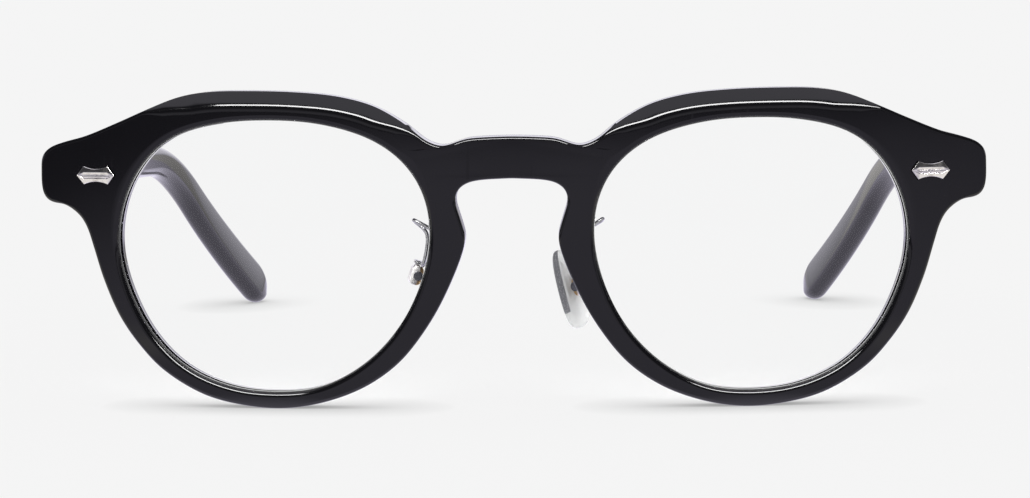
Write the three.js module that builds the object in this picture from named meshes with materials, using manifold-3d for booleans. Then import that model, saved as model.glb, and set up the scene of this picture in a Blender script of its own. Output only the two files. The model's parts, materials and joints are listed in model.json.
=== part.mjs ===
// Round acetate eyeglasses, standing open on their two rims and two temple tips.
// Millimetres, +Z up. The front looks along -Y, and left and right are the wearer's,
// so the left side is at +X.

import * as THREE from 'three';
import { mergeVertices } from 'three/addons/utils/BufferGeometryUtils.js';
import Module from 'manifold-3d';

const wasm = await Module();
wasm.setup();

// Front, measured along its curved sheet from the middle of the bridge
const frontThickness = 4.4;
const baseCurveRadius = 320;
const frontEdgeRound = 1.15;
const backEdgeRound = 0.7;
const browFacetHeight = 2.1;
const browFacetDepth = 1.9;
const columnPitch = 2.85;

// Lens openings and lenses, and how far the acetate goes past the opening on each side
const openingHalfWidth = 23.85;
const openingHalfHeight = 20.77;
const bridgeHalfWidth = 12.65;
const endPieceReach = 12.25;
const rimBelow = 2.53;
const browAbove = 4.43;
const grooveDepth = 0.8;
const grooveHalfWidth = 0.8;
const grooveSetback = 1.9;
const lensThickness = 1.8;
const lensBevel = 0.5;
const lensCrown = 1.3;
const lensClearance = 0.3;
const lensSteps = 42;

// Rivet plaques on the end pieces
const plaqueInset = 8.9;
const plaqueRise = 0.4;
const plaqueLength = 6;
const plaqueWidth = 2.8;
const plaqueThickness = 0.85;
const plaqueProud = 0.5;
const plaqueFacet = 0.75;
const plaqueFacetDepth = 0.35;
const plaqueGroove = 0.14;
const plaqueGrooveSpread = 0.27;
const plaquePinRadius = 0.6;
const plaquePinLength = 1.8;
const plaquePinSpread = 1.5;
const plaqueArcSteps = 3;

// Hinges of five barrels
const hingeInset = 5.8;
const hingeRise = 11.9;
const barrelRadius = 1.35;
const barrelHeight = 1.1;
const barrelGap = 0.12;
const barrelCount = 5;
const screwRadius = 0.65;
const screwClearance = 0.1;
const screwHeadRadius = 1.05;
const screwHeadHeight = 0.5;
const screwSlotWidth = 0.3;
const screwSlotDepth = 0.25;
const barrelStandOff = 1.9;
const leafThickness = 1;
const leafSunk = 0.7;
const leafMargin = 0.1;
const frontLeafLength = 5;
const frontLeafOverlap = 0.9;
const templeLeafLength = 9;
const studRadius = 0.55;
const studLength = 1.3;
const studSpread = 1.6;
const templeStudLength = 0.4;
const webHalfWidth = 0.9;

// Temples, along their middle line from the butt face
const templeLength = 145;
const templeThickness = 4;
const templeButtHeight = 8.2;
const templeBendHeight = 5.2;
const templeTipHeight = 7.8;
const bendStart = 92;
const bendRadius = 36;
const bendAngle = 37;
const templeToeIn = 1.6;
const tipCurlStart = 76;
const tipCurlInward = 15.5;
const tipCurlPower = 1.8;
const templeCornerRadius = 1.1;
const templeTipRound = 4.4;
const buttGap = 0.25;
const coreWidth = 2.2;
const coreThickness = 0.9;
const coreStart = 2;
const coreEndInset = 14;

// Nose pads, each on a pin in a box at the end of its bent arm. Both arms are bent a little
// towards the wearer's right, so the pads stand off centre and are turned by different amounts.
const padPinInset = 0.08;
const padPinDrop = 4.8;
const padPinBehind = 7;
const padSwaySide = 2.37;
const padSwayHeight = 0.9;
const padSwayTurn = 13;
const padLean = 17;
const padSplay = 22;
const padSetIn = 2.1;
const padLength = 12.4;
const padHalfWidthFront = 2.7;
const padHalfWidthBack = 4.1;
const padDepthInner = 1.1;
const padDepthOuter = 0.8;
const padSides = 12;
const padEndPower = 2.4;
const plateLength = 8.6;
const plateWidth = 1.6;
const plateThickness = 0.5;
const plateGap = 0.15;
const lugRadius = 0.65;
const lugThickness = 0.8;
const lugRunningGap = 0.15;
const boxWidth = 2.3;
const boxHeight = 3;
const boxWall = 0.35;
const boxMouth = 0.7;
const boxRound = 0.75;
const pinRadius = 0.3;
const pinHeadRadius = 0.75;
const pinHeadHeight = 0.35;
const pinClearance = 0.1;
const armRadius = 0.3;
const armFootInset = 2.95;
const armFootRise = 2.1;
const armFootRadius = 1.25;
const armFootThickness = 0.6;
const armFootSunk = 0.3;
const armStudLength = 1.6;
const armRise = 1.4;
const armBowOut = 1.65;
const armBowRise = 2.9;
const armBowBack = 2.3;
const armBowDepth = 1.5;
const armBowSway = 0.7;
const armLegBack = 3;
const armLegInset = 1.15;
const armLegSlant = 0.6;
const armLegRise = 2.1;
const armLegLength = 4.6;
const armEndLength = 1.5;
const armEndThickness = 0.6;

// Clearances and cutting
const fitGap = 0.3;
const recessGap = 0.15;
const overrun = 1;

const degrees = Math.PI / 180;
const halfThickness = frontThickness / 2;
const lensCentreSide = bridgeHalfWidth + openingHalfWidth;
const lensCentreHeight = rimBelow + openingHalfHeight;
const frontHalfWidth = lensCentreSide + openingHalfWidth + endPieceReach;
const frontHeight = lensCentreHeight + openingHalfHeight + browAbove;
const plaqueSide = frontHalfWidth - plaqueInset;
const hingeSide = frontHalfWidth - hingeInset;
const hingeHeight = lensCentreHeight + hingeRise;
const plaqueHeight = hingeHeight + plaqueRise;
const armFootSide = bridgeHalfWidth - armFootInset;
const armFootHeight = lensCentreHeight + armFootRise;
const barrelStack = barrelCount * barrelHeight + (barrelCount - 1) * barrelGap;
const leafHeight = barrelStack + 2 * leafMargin;
const templeInside = barrelRadius + fitGap;
const pathStep = templeLength / 1000;

// The outline of one half of the front, from the middle of the bridge's top edge over the
// brow, round the end piece, under the rim and up to the bridge's arch. Each row holds the
// angle round the lens that the outline point is lofted to, then its shares of the front's
// half width and height.
const outlineRowShares = [
  [145, 0, 0.8585], [143.5, 0.05, 0.8565], [142, 0.094, 0.851], [141, 0.118, 0.839],
  [139.5, 0.143, 0.8292], [137, 0.175, 0.8445], [132, 0.217, 0.8935], [126, 0.258, 0.9312],
  [120, 0.3, 0.9595], [111, 0.367, 0.984], [98, 0.45, 0.9962], [82, 0.551, 1],
  [69.5, 0.639, 0.9965], [60.5, 0.702, 0.9802], [50, 0.77, 0.9403], [42, 0.83, 0.901],
  [34, 0.903, 0.8565], [29.5, 0.948, 0.838], [26.5, 0.981, 0.819], [23.5, 0.997, 0.794],
  [20, 1, 0.748], [16.5, 0.998, 0.685], [14, 0.989, 0.656], [12, 0.972, 0.644], [10, 0.95, 0.64],
  [5.5, 0.917, 0.606], [2, 0.901, 0.568], [-2, 0.887, 0.504], [-11, 0.866, 0.402],
  [-22, 0.831, 0.283], [-33, 0.787, 0.19], [-44.5, 0.738, 0.116], [-60, 0.652, 0.041],
  [-76, 0.565, 0.008], [-93, 0.48, 0], [-109, 0.394, 0.021], [-125, 0.309, 0.07],
  [-140, 0.238, 0.146], [-154, 0.181, 0.252], [-166.5, 0.138, 0.365], [-181.5, 0.101, 0.503],
  [-185, 0.097, 0.546], [-190, 0.107, 0.604], [-195, 0.117, 0.658], [-199.5, 0.112, 0.689],
  [-204, 0.094, 0.711], [-206.5, 0.069, 0.7206], [-209, 0, 0.7268],
];

// The lens opening, anticlockwise from its temple side, as shares of its half width and height
const openingShares = [
  [1, 0.05], [0.972, 0.36], [0.858, 0.64], [0.67, 0.85], [0.43, 0.955], [0.2, 0.993], [-0.02, 1],
  [-0.24, 0.984], [-0.465, 0.932], [-0.694, 0.824], [-0.887, 0.627], [-0.993, 0.352], [-1, 0.053],
  [-0.937, -0.228], [-0.828, -0.481], [-0.675, -0.696], [-0.484, -0.864], [-0.262, -0.972],
  [-0.02, -1], [0.217, -0.978], [0.455, -0.893], [0.663, -0.738], [0.827, -0.511], [0.94, -0.243],
];

// The bridge's middle columns keep clear of its top and bottom corners
const bridgeMarginShare = 0.15;

// Where the brow's facet starts, is full, begins to fade and ends, as shares of the half width
const browShares = [0.165, 0.29, 0.668, 0.806];

// Only the outline's upper part, above this share of the opening, can have the brow's facet
const browFloorShare = 0.6;

// The most of a narrow rim that the roundings of its edges may take
const roundShare = 0.46;

// The plaque's outline has a point at each end and four corners joined by hollow edges
const plaqueCornerShare = 0.64;
const plaqueWaistShare = 0.7;

// How far from its middle each ring of the lens lies
const lensRingShares = [0, 0.36, 0.7, 1];

// Where the temple starts to narrow, how much thinner its tip is, and how much of its section
// the rounded corners may take
const templeShoulderShare = 0.1;
const templeTipSlimShare = 0.15;
const templeCornerShare = 0.9;

// Where the temple's sections lie: along the shaft, round the bend, down the hook and over
// its round end
const shaftShares = [0.06, 0.2, 0.35, 0.5, 0.65, 0.8, 0.92];
const bendShares = [0, 0.2, 0.4, 0.6, 0.8, 1];
const hookShares = [0.35, 0.7, 1];
const tipShares = [0.35, 0.62, 0.82, 0.95, 1];

// How much narrower the nose pad is above and wider below
const padTaperShare = 0.14;

// Where the nose pad's sections lie along it, from its lower end to its narrower upper end
const padStationShares = [-1, -0.94, -0.78, -0.5, -0.15, 0.2, 0.55, 0.8, 0.94, 1];

function solidOf(geometry) {
  const bare = geometry.index ? geometry.toNonIndexed() : geometry.clone();
  for (const name of Object.keys(bare.attributes)) {
    if (name !== 'position') bare.deleteAttribute(name);
  }
  const merged = mergeVertices(bare);
  return new wasm.Manifold(new wasm.Mesh({
    numProp: 3,
    vertProperties: new Float32Array(merged.attributes.position.array),
    triVerts: new Uint32Array(merged.index.array),
  }));
}

function geometryOf(solid) {
  const mesh = solid.getMesh();
  const geometry = new THREE.BufferGeometry();
  geometry.setAttribute('position', new THREE.BufferAttribute(new Float32Array(mesh.vertProperties), 3));
  geometry.setIndex(new THREE.BufferAttribute(new Uint32Array(mesh.triVerts), 1));
  return geometry;
}

function cut(geometry, ...tools) {
  return geometryOf(tools.reduce((rest, tool) => rest.subtract(solidOf(tool)), solidOf(geometry)));
}

function join(geometry, ...others) {
  return geometryOf(others.reduce((whole, other) => whole.add(solidOf(other)), solidOf(geometry)));
}

// The same piece for the other side of the face
function mirrored(geometry) {
  const flat = geometry.index ? geometry.toNonIndexed() : geometry.clone();
  const from = flat.attributes.position;
  const out = new Float32Array(from.count * 3);
  for (let i = 0; i < from.count; i += 3) {
    [0, 2, 1].forEach((corner, k) => {
      const at = 3 * (i + k);
      out[at] = -from.getX(i + corner);
      out[at + 1] = from.getY(i + corner);
      out[at + 2] = from.getZ(i + corner);
    });
  }
  const result = new THREE.BufferGeometry();
  result.setAttribute('position', new THREE.BufferAttribute(out, 3));
  return result;
}

// A closed skin through rings of equal counts. An open row of rings is capped at both ends.
function skin(rings, closed = false) {
  const points = [];
  const add = (a, b, c) => points.push(a, b, c);
  const count = rings[0].length;
  const spans = closed ? rings.length : rings.length - 1;
  for (let i = 0; i < spans; i += 1) {
    const near = rings[i];
    const far = rings[(i + 1) % rings.length];
    for (let j = 0; j < count; j += 1) {
      const k = (j + 1) % count;
      add(near[j], far[k], far[j]);
      add(near[j], near[k], far[k]);
    }
  }
  if (!closed) {
    for (let j = 1; j < count - 1; j += 1) {
      const last = rings[rings.length - 1];
      add(rings[0][0], rings[0][j + 1], rings[0][j]);
      add(last[0], last[j], last[j + 1]);
    }
  }
  return fromPoints(points);
}

// Triangles from a flat list of corners, without the ones that have no area
function fromPoints(points, keep = () => true) {
  const kept = [];
  for (let i = 0; i < points.length; i += 3) {
    const [a, b, c] = points.slice(i, i + 3);
    const lone = !a.equals(b) && !b.equals(c) && !c.equals(a);
    if (lone && keep(a, b, c)) kept.push(a, b, c);
  }
  return mergeVertices(new THREE.BufferGeometry().setFromPoints(kept));
}

function block(width, depth, height, x, y, z) {
  return new THREE.BoxGeometry(width, depth, height).translate(x, y, z);
}

// The corners of a mesh's triangles, in order
function cornersOf(geometry) {
  const flat = geometry.index ? geometry.toNonIndexed() : geometry;
  const corners = [];
  for (let i = 0; i < flat.attributes.position.count; i += 1) {
    corners.push(new THREE.Vector3().fromBufferAttribute(flat.attributes.position, i));
  }
  return corners;
}

// A round rod between two points
function rod(radius, from, to, sides = 10) {
  const start = new THREE.Vector3(...from);
  const span = new THREE.Vector3(...to).sub(start);
  const ahead = span.clone().normalize();
  const turn = new THREE.Quaternion().setFromUnitVectors(new THREE.Vector3(0, 1, 0), ahead);
  return new THREE.CylinderGeometry(radius, radius, span.length(), sides)
    .applyQuaternion(turn)
    .translate(start.x + span.x / 2, start.y + span.y / 2, start.z + span.z / 2);
}

// An upright rod from one height to another
function post(radius, from, to, sides = 16) {
  return new THREE.CylinderGeometry(radius, radius, to - from, sides)
    .rotateX(90 * degrees)
    .translate(0, 0, (from + to) / 2);
}

// A point on the front's curved sheet: how far round from the middle, its height, and how
// far it stands in front of the sheet
function onSheet(side, height, proud) {
  const angle = side / baseCurveRadius;
  const radius = baseCurveRadius + proud;
  return new THREE.Vector3(radius * Math.sin(angle), baseCurveRadius - radius * Math.cos(angle), height);
}

// Puts a piece that was made on a flat front, with -Y proud, on the curved sheet
function ontoSheet(geometry, side, height, proud) {
  const at = onSheet(side, height, proud);
  return geometry.rotateZ(side / baseCurveRadius).translate(at.x, at.y, at.z);
}

// The opening as a radius for each angle, read from a smooth curve through its points
const openingCurve = new THREE.CatmullRomCurve3(
  openingShares.map(([x, z]) => new THREE.Vector3(x * openingHalfWidth, z * openingHalfHeight, 0)),
  true,
);
const openingSamples = openingCurve.getPoints(24 * openingShares.length)
  .map((p) => ({ angle: Math.atan2(p.y, p.x), radius: Math.hypot(p.x, p.y) }))
  .sort((a, b) => a.angle - b.angle);

function openingRadius(angle) {
  const turned = Math.atan2(Math.sin(angle), Math.cos(angle));
  const above = openingSamples.findIndex((sample) => sample.angle > turned);
  const next = openingSamples[Math.max(above, 0)];
  const last = openingSamples[(Math.max(above, 0) + openingSamples.length - 1) % openingSamples.length];
  const span = next.angle - last.angle;
  const whole = span > 0 ? span : span + 2 * Math.PI;
  const part = turned - last.angle;
  const share = (part >= 0 ? part : part + 2 * Math.PI) / whole;
  return last.radius + (next.radius - last.radius) * Math.min(share, 1);
}

// A point of the opening at an angle round the lens, moved outwards by an offset
function openingPoint(angle, offset = 0) {
  const at = (a) => new THREE.Vector2(Math.cos(a), Math.sin(a)).multiplyScalar(openingRadius(a));
  const point = at(angle);
  const along = at(angle + degrees).sub(at(angle - degrees)).normalize();
  point.add(new THREE.Vector2(along.y, -along.x).multiplyScalar(offset));
  return point.add(new THREE.Vector2(lensCentreSide, lensCentreHeight));
}

function smooth(from, to, value) {
  return THREE.MathUtils.smoothstep(value, from, to);
}

// Columns of the front: each has its outline point, the direction into the acetate there,
// and the angle round the lens
function frontColumns() {
  const rows = outlineRowShares.map(([angle, x, z]) => new THREE.Vector3(
    x * frontHalfWidth,
    z * frontHeight,
    angle * degrees,
  ));
  const outline = new THREE.CatmullRomCurve3(rows);
  const last = rows.length - 1;
  const columns = [];
  for (let row = 0; row < last; row += 1) {
    const length = Math.hypot(rows[row + 1].x - rows[row].x, rows[row + 1].y - rows[row].y);
    const steps = Math.max(1, Math.round(length / columnPitch));
    for (let step = 0; step < steps; step += 1) columns.push((row + step / steps) / last);
  }
  columns.push(1);
  const made = columns.map((t) => {
    const point = outline.getPoint(t);
    const along = outline.getTangent(t);
    const inward = new THREE.Vector2(along.y, -along.x).normalize();
    return { point: new THREE.Vector2(point.x, point.y), inward, angle: point.z, onMiddle: false };
  });
  // The two corners on the middle plane are rounded along that plane
  made[0].inward.set(0, -1);
  made[made.length - 1].inward.set(0, 1);
  made[0].point.x = 0;
  made[made.length - 1].point.x = 0;
  const low = made[made.length - 1];
  const high = made[0];
  const steps = Math.round((high.point.y - low.point.y) / columnPitch) + 1;
  for (let step = 1; step < steps; step += 1) {
    const share = step / steps;
    const upShare = THREE.MathUtils.lerp(bridgeMarginShare, 1 - bridgeMarginShare, share);
    made.push({
      point: low.point.clone().lerp(high.point, upShare),
      inward: new THREE.Vector2(0, 0),
      angle: low.angle + (high.angle - 2 * Math.PI - low.angle) * share,
      onMiddle: true,
    });
  }
  return made;
}

// How tall the brow's facet is above a point of the outline
function browFacet(point) {
  if (point.y < lensCentreHeight + openingHalfHeight * browFloorShare) return 0;
  const [start, full, fade, end] = browShares.map((share) => share * frontHalfWidth);
  return browFacetHeight * smooth(start, full, point.x) * (1 - smooth(fade, end, point.x));
}

// One column's closed section, from the back of the opening's wall over the front to the back
function frontSection(column) {
  const inner = (offset) => openingPoint(column.angle, offset);
  const outer = (offset) => column.point.clone().addScaledVector(column.inward, offset);
  const width = inner(0).distanceTo(column.point);
  const round = Math.min(frontEdgeRound, width * roundShare);
  const backRound = Math.min(backEdgeRound, width * roundShare);
  const facet = browFacet(column.point);
  const reach = column.onMiddle ? 0 : Math.max(round, facet);
  const section = [];
  const add = (flat, proud) => section.push(onSheet(flat.x, flat.y, proud));
  const groove = halfThickness - grooveSetback;

  add(inner(0), -halfThickness + backRound);
  add(inner(0), groove - grooveHalfWidth);
  add(inner(grooveDepth), groove);
  add(inner(0), groove + grooveHalfWidth);
  for (const turn of [0, 45, 90]) {
    const a = turn * degrees;
    add(inner(round * (1 - Math.cos(a))), halfThickness - round + round * Math.sin(a));
  }
  const innerEnd = inner(round);
  const outerEnd = outer(reach);
  add(innerEnd.clone().lerp(outerEnd, 1 / 3), halfThickness);
  add(innerEnd.clone().lerp(outerEnd, 2 / 3), halfThickness);
  for (const turn of [90, 58, 28, 0]) {
    const share = 1 - Math.cos(turn * degrees);
    const offset = reach * share;
    const rounded = offset < round ? round - Math.sqrt(round ** 2 - (round - offset) ** 2) : 0;
    const faceted = facet > 0 ? browFacetDepth * (facet / browFacetHeight) * (1 - offset / facet) : 0;
    add(outer(offset), column.onMiddle ? halfThickness : halfThickness - Math.max(rounded, faceted));
  }
  const backReach = column.onMiddle ? 0 : backRound;
  for (const turn of [0, 45, 90]) {
    const a = turn * degrees;
    const depth = column.onMiddle ? 0 : backRound * (1 - Math.sin(a));
    add(outer(backReach * (1 - Math.cos(a))), -halfThickness + depth);
  }
  add(inner(backRound).lerp(outer(backReach), 1 / 2), -halfThickness);
  add(inner(backRound), -halfThickness);
  const chamfer = backRound * (1 - Math.SQRT1_2);
  add(inner(chamfer), -halfThickness + chamfer);
  return section;
}

// The acetate front: one half lofted round its lens, then the other half as its mirror image.
// The triangles on the middle plane are left out, so the two halves are one body.
function makeFront() {
  const half = skin(frontColumns().map(frontSection).reverse(), true);
  const offMiddle = (a, b, c) => [a, b, c].some((corner) => corner.x !== 0);
  const shell = fromPoints([...cornersOf(half), ...cornersOf(mirrored(half))], offMiddle);
  const tools = [];
  for (const onSide of [(g) => g, mirrored]) {
    tools.push(onSide(ontoSheet(makePlaque(recessGap), plaqueSide, plaqueHeight, halfThickness)));
    tools.push(onSide(ontoSheet(makeLeafPlate(recessGap), hingeSide, hingeHeight, -halfThickness)));
    tools.push(onSide(ontoSheet(makeArmFoot(recessGap), armFootSide, armFootHeight, -halfThickness)));
  }
  return cut(shell, ...tools);
}

// A clear lens: both faces are domed over the sheet, and a V-shaped bevel runs round its edge
function makeLens() {
  const groove = halfThickness - grooveSetback;
  const centre = new THREE.Vector2(lensCentreSide, lensCentreHeight);
  const ring = (share, offset, proud) => {
    const points = [];
    for (let step = 0; step < lensSteps; step += 1) {
      const angle = (2 * Math.PI * step) / lensSteps;
      const flat = centre.clone().lerp(openingPoint(angle, offset), share);
      points.push(onSheet(flat.x, flat.y, groove + proud + lensCrown * (1 - share ** 2)));
    }
    return points;
  };
  const rings = [];
  const face = (proud) => lensRingShares.map((share) => ring(share, -lensClearance, proud));
  rings.push(...face(lensThickness / 2), ring(1, lensBevel, 0), ...face(-lensThickness / 2).reverse());
  return skin(rings.reverse());
}

// The silver plaque, facing -Y, with two pins behind it. With a gap it is the recess's tool.
function makePlaque(gap = 0) {
  const halfLength = plaqueLength / 2 + gap;
  const halfWidth = plaqueWidth / 2 + gap;
  const corner = halfLength * plaqueCornerShare;
  const shape = new THREE.Shape();
  shape.moveTo(-halfLength, 0);
  shape.lineTo(-corner, -halfWidth);
  shape.quadraticCurveTo(0, -halfWidth * (2 * plaqueWaistShare - 1), corner, -halfWidth);
  shape.lineTo(halfLength, 0);
  shape.lineTo(corner, halfWidth);
  shape.quadraticCurveTo(0, halfWidth * (2 * plaqueWaistShare - 1), -corner, halfWidth);
  shape.closePath();
  const outline = shape.getPoints(plaqueArcSteps).slice(0, -1);
  const ring = (inset, y) => outline.map((p) => new THREE.Vector3(
    p.x * (1 - inset / halfLength),
    y,
    p.y * (1 - inset / halfWidth),
  ));
  const back = plaqueThickness - plaqueProud;
  const top = gap > 0 ? -plaqueProud - overrun : -plaqueProud;
  const rings = gap > 0
    ? [ring(0, back + gap), ring(0, top)]
    : [ring(0, back), ring(0, top + plaqueFacetDepth), ring(plaqueFacet, top)];
  const plate = skin(rings);
  const pins = [-1, 1].map((sign) => rod(
    plaquePinRadius + gap,
    [sign * plaquePinSpread, 0, 0],
    [sign * plaquePinSpread, back + plaquePinLength + gap, 0],
  ));
  const whole = join(plate, ...pins);
  if (gap > 0) return whole;
  const grooves = [-1, 1].map((sign) => block(
    plaqueLength,
    plaqueGroove * 2,
    plaqueGroove,
    0,
    top,
    sign * plaqueGrooveSpread,
  ));
  return cut(whole, ...grooves);
}

// Heights of one barrel of the hinge, counted from the lowest
function barrelSpan(index) {
  const from = -barrelStack / 2 + index * (barrelHeight + barrelGap);
  return [from, from + barrelHeight];
}

// The front leaf's plate lies on the back of the end piece, with two studs in the acetate
function makeLeafPlate(gap = 0) {
  const length = frontLeafLength + 2 * gap;
  const middle = frontLeafOverlap - frontLeafLength / 2;
  const back = gap > 0 ? overrun : leafThickness - leafSunk;
  const plate = block(
    length,
    back + leafSunk + gap,
    leafHeight + 2 * gap,
    middle,
    (back - leafSunk - gap) / 2,
    0,
  );
  const studs = [-1, 1].map((sign) => rod(
    studRadius + gap,
    [middle, 0, sign * studSpread],
    [middle, -leafSunk - studLength - gap, sign * studSpread],
  ));
  return join(plate, ...studs);
}

function makeFrontLeaf() {
  const webs = [];
  for (let index = 0; index < barrelCount; index += 2) {
    const [from, to] = barrelSpan(index);
    webs.push(block(2 * webHalfWidth, barrelStandOff, barrelHeight, 0, barrelStandOff / 2, (from + to) / 2));
    webs.push(post(barrelRadius, from, to).translate(0, barrelStandOff, 0));
  }
  const bore = post(screwRadius + screwClearance, -leafHeight, leafHeight).translate(0, barrelStandOff, 0);
  return cut(join(makeLeafPlate(), ...webs), bore);
}

// The temple leaf, about the hinge's axis: its plate lies along the inner side of the temple
function makeTempleLeafPlate(gap = 0) {
  const inner = gap > 0 ? -overrun : leafSunk - leafThickness;
  const outer = leafSunk + gap;
  const from = -barrelRadius - gap;
  const to = templeLeafLength + gap;
  const plate = block(
    outer - inner,
    to - from,
    leafHeight + 2 * gap,
    templeInside + (inner + outer) / 2,
    (from + to) / 2,
    0,
  );
  const studs = [-1, 1].map((sign) => rod(
    studRadius + gap,
    [templeInside, templeLeafLength / 2, sign * studSpread],
    [templeInside + leafSunk + templeStudLength + gap, templeLeafLength / 2, sign * studSpread],
  ));
  return join(plate, ...studs);
}

function makeTempleLeaf() {
  const webs = [];
  for (let index = 1; index < barrelCount; index += 2) {
    const [from, to] = barrelSpan(index);
    const middle = (from + to) / 2;
    webs.push(block(templeInside, 2 * webHalfWidth, barrelHeight, templeInside / 2, 0, middle));
    webs.push(post(barrelRadius, from, to));
  }
  const bore = post(screwRadius + screwClearance, -leafHeight, leafHeight);
  const plate = makeTempleLeafPlate();
  const slots = [];
  for (let index = 0; index < barrelCount; index += 2) {
    const [from, to] = barrelSpan(index);
    slots.push(post(barrelRadius + recessGap, from - barrelGap, to + barrelGap));
  }
  return cut(join(cut(plate, ...slots), ...webs), bore);
}

function makeHingeScrew() {
  const [from] = barrelSpan(0);
  const [, to] = barrelSpan(barrelCount - 1);
  const headFrom = to + barrelGap / 2;
  const headTo = headFrom + screwHeadHeight;
  const screw = join(
    post(screwRadius, from, headFrom + screwHeadHeight / 2),
    post(screwHeadRadius, headFrom, headTo),
  );
  return cut(screw, block(4 * screwHeadRadius, screwSlotWidth, 2 * screwSlotDepth, 0, 0, headTo));
}

// The temple's middle line, about the hinge's axis, with the side's up direction there
function templeFrame(along, slope) {
  const pitch = slope * degrees;
  const bend = bendAngle * degrees;
  const arc = bendRadius * bend;
  const straight = Math.min(along, bendStart);
  const round = THREE.MathUtils.clamp((along - bendStart) / arc, 0, 1) * bend;
  const past = Math.max(along - bendStart - arc, 0);
  const turned = pitch + round;
  const back = straight * Math.cos(pitch)
    + bendRadius * (Math.sin(turned) - Math.sin(pitch)) + past * Math.cos(turned);
  const drop = straight * Math.sin(pitch)
    + bendRadius * (Math.cos(pitch) - Math.cos(turned)) + past * Math.sin(turned);
  const curl = Math.max(along - tipCurlStart, 0) / (templeLength - tipCurlStart);
  const inward = along * Math.tan(templeToeIn * degrees) + tipCurlInward * curl ** tipCurlPower;
  return {
    at: new THREE.Vector3(templeInside + templeThickness / 2 - inward, back - barrelStandOff, -drop),
    up: new THREE.Vector3(0, Math.sin(turned), Math.cos(turned)),
  };
}

// A closed row of rounded-rectangle sections along the temple's middle line
function templeRings(slope, stations, halfSizes) {
  return stations.map((along) => {
    const { at, up } = templeFrame(along, slope);
    const ahead = templeFrame(along + pathStep, slope).at;
    const side = ahead.sub(templeFrame(along - pathStep, slope).at).normalize().cross(up).normalize();
    const { across, tall, corner } = halfSizes(along);
    const ring = [];
    for (const [x, z, start] of [[1, 1, 0], [-1, 1, 90], [-1, -1, 180], [1, -1, 270]]) {
      for (const turn of [0, 45, 90]) {
        const a = (start + turn) * degrees;
        const dx = x * (across - corner) + corner * Math.cos(a);
        const dz = z * (tall - corner) + corner * Math.sin(a);
        ring.push(at.clone().addScaledVector(side, dx).addScaledVector(up, dz));
      }
    }
    return ring.reverse();
  });
}

// Half sizes of the temple's section: it narrows to the bend and widens again to its round tip
function templeHalfSizes(along) {
  const bendEnd = bendStart + bendRadius * bendAngle * degrees;
  const narrowed = smooth(bendStart * templeShoulderShare, bendStart, along);
  const widened = smooth(bendStart, templeLength - templeTipRound, along);
  const height = templeButtHeight + (templeBendHeight - templeButtHeight) * narrowed
    + (templeTipHeight - templeBendHeight) * widened;
  const end = Math.max(along - (templeLength - templeTipRound), 0) / templeTipRound;
  const round = Math.sqrt(Math.max(1 - end ** 2, 0));
  const slim = 1 - templeTipSlimShare * smooth(bendEnd - bendRadius / 2, templeLength, along);
  const tall = (height / 2) * round;
  const across = (templeThickness / 2) * slim * Math.sqrt(round);
  return { across, tall, corner: Math.min(templeCornerRadius, templeCornerShare * Math.min(tall, across)) };
}

// Where the temple's sections are taken, from one end of a piece to the other. The temple
// itself goes on over its round tip.
function templeStations(from, to, tip) {
  const arc = bendRadius * bendAngle * degrees;
  const bendEnd = bendStart + arc;
  const tipStart = templeLength - templeTipRound;
  const marks = [
    ...shaftShares.map((share) => bendStart * share),
    ...bendShares.map((share) => bendStart + arc * share),
    ...hookShares.map((share) => THREE.MathUtils.lerp(bendEnd, tipStart, share)),
  ];
  if (tip) marks.push(...tipShares.map((share) => tipStart + templeTipRound * share));
  const inside = marks.filter((mark) => mark > from + pathStep && (tip || mark < to - pathStep));
  return tip ? [from, ...inside] : [from, ...inside, to];
}

// The shaft's slope is the one that sets the tip on the floor beside the rims
function restSlope() {
  const stations = templeStations(0, templeLength, true);
  const lowest = (slope) => {
    const corners = templeRings(slope, stations, templeHalfSizes).flat();
    return Math.min(...corners.map((corner) => corner.z));
  };
  let flat = -bendAngle / 3;
  let steep = bendAngle;
  for (let turn = 0; turn < 40; turn += 1) {
    const middle = (flat + steep) / 2;
    if (lowest(middle) + hingeHeight > 0) flat = middle;
    else steep = middle;
  }
  return steep;
}

// A block that covers everything in front of the temple's butt face
function buttTool() {
  const size = 4 * templeButtHeight;
  return block(size, size, size, 0, -size / 2 - barrelStandOff + buttGap, 0)
    .rotateZ(hingeSide / baseCurveRadius);
}

function makeTemple(slope) {
  const stations = templeStations(-templeButtHeight / 2, templeLength, true);
  const blank = skin(templeRings(slope, stations, templeHalfSizes));
  const boreSizes = () => ({
    across: coreThickness / 2 + fitGap,
    tall: coreWidth / 2 + fitGap,
    corner: 0,
  });
  const boreStations = templeStations(-templeButtHeight, templeLength - coreEndInset + fitGap, false);
  const bore = skin(templeRings(slope, boreStations, boreSizes));
  return cut(blank, buttTool(), makeTempleLeafPlate(recessGap), bore);
}

function makeTempleCore(slope) {
  const stations = templeStations(coreStart, templeLength - coreEndInset, false);
  return skin(templeRings(slope, stations, () => ({
    across: coreThickness / 2,
    tall: coreWidth / 2,
    corner: coreThickness / 4,
  })));
}

// A round wire along a smooth path through a few points
function wire(radius, points, steps) {
  const shape = new THREE.Shape();
  shape.absarc(0, 0, radius, 0, 2 * Math.PI);
  const path = new THREE.CatmullRomCurve3(points);
  const sweep = { steps, curveSegments: 3, bevelEnabled: false, extrudePath: path };
  return new THREE.ExtrudeGeometry(shape, sweep);
}

// The arm's round foot, on the back of the rim with a stud in the acetate
function makeArmFoot(gap = 0) {
  const back = gap > 0 ? overrun : armFootThickness - armFootSunk;
  return join(
    rod(armFootRadius + gap, [0, -armFootSunk - gap, 0], [0, back, 0]),
    rod(studRadius + gap, [0, -armFootSunk - armStudLength - gap, 0], [0, 0, 0]),
  );
}

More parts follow.
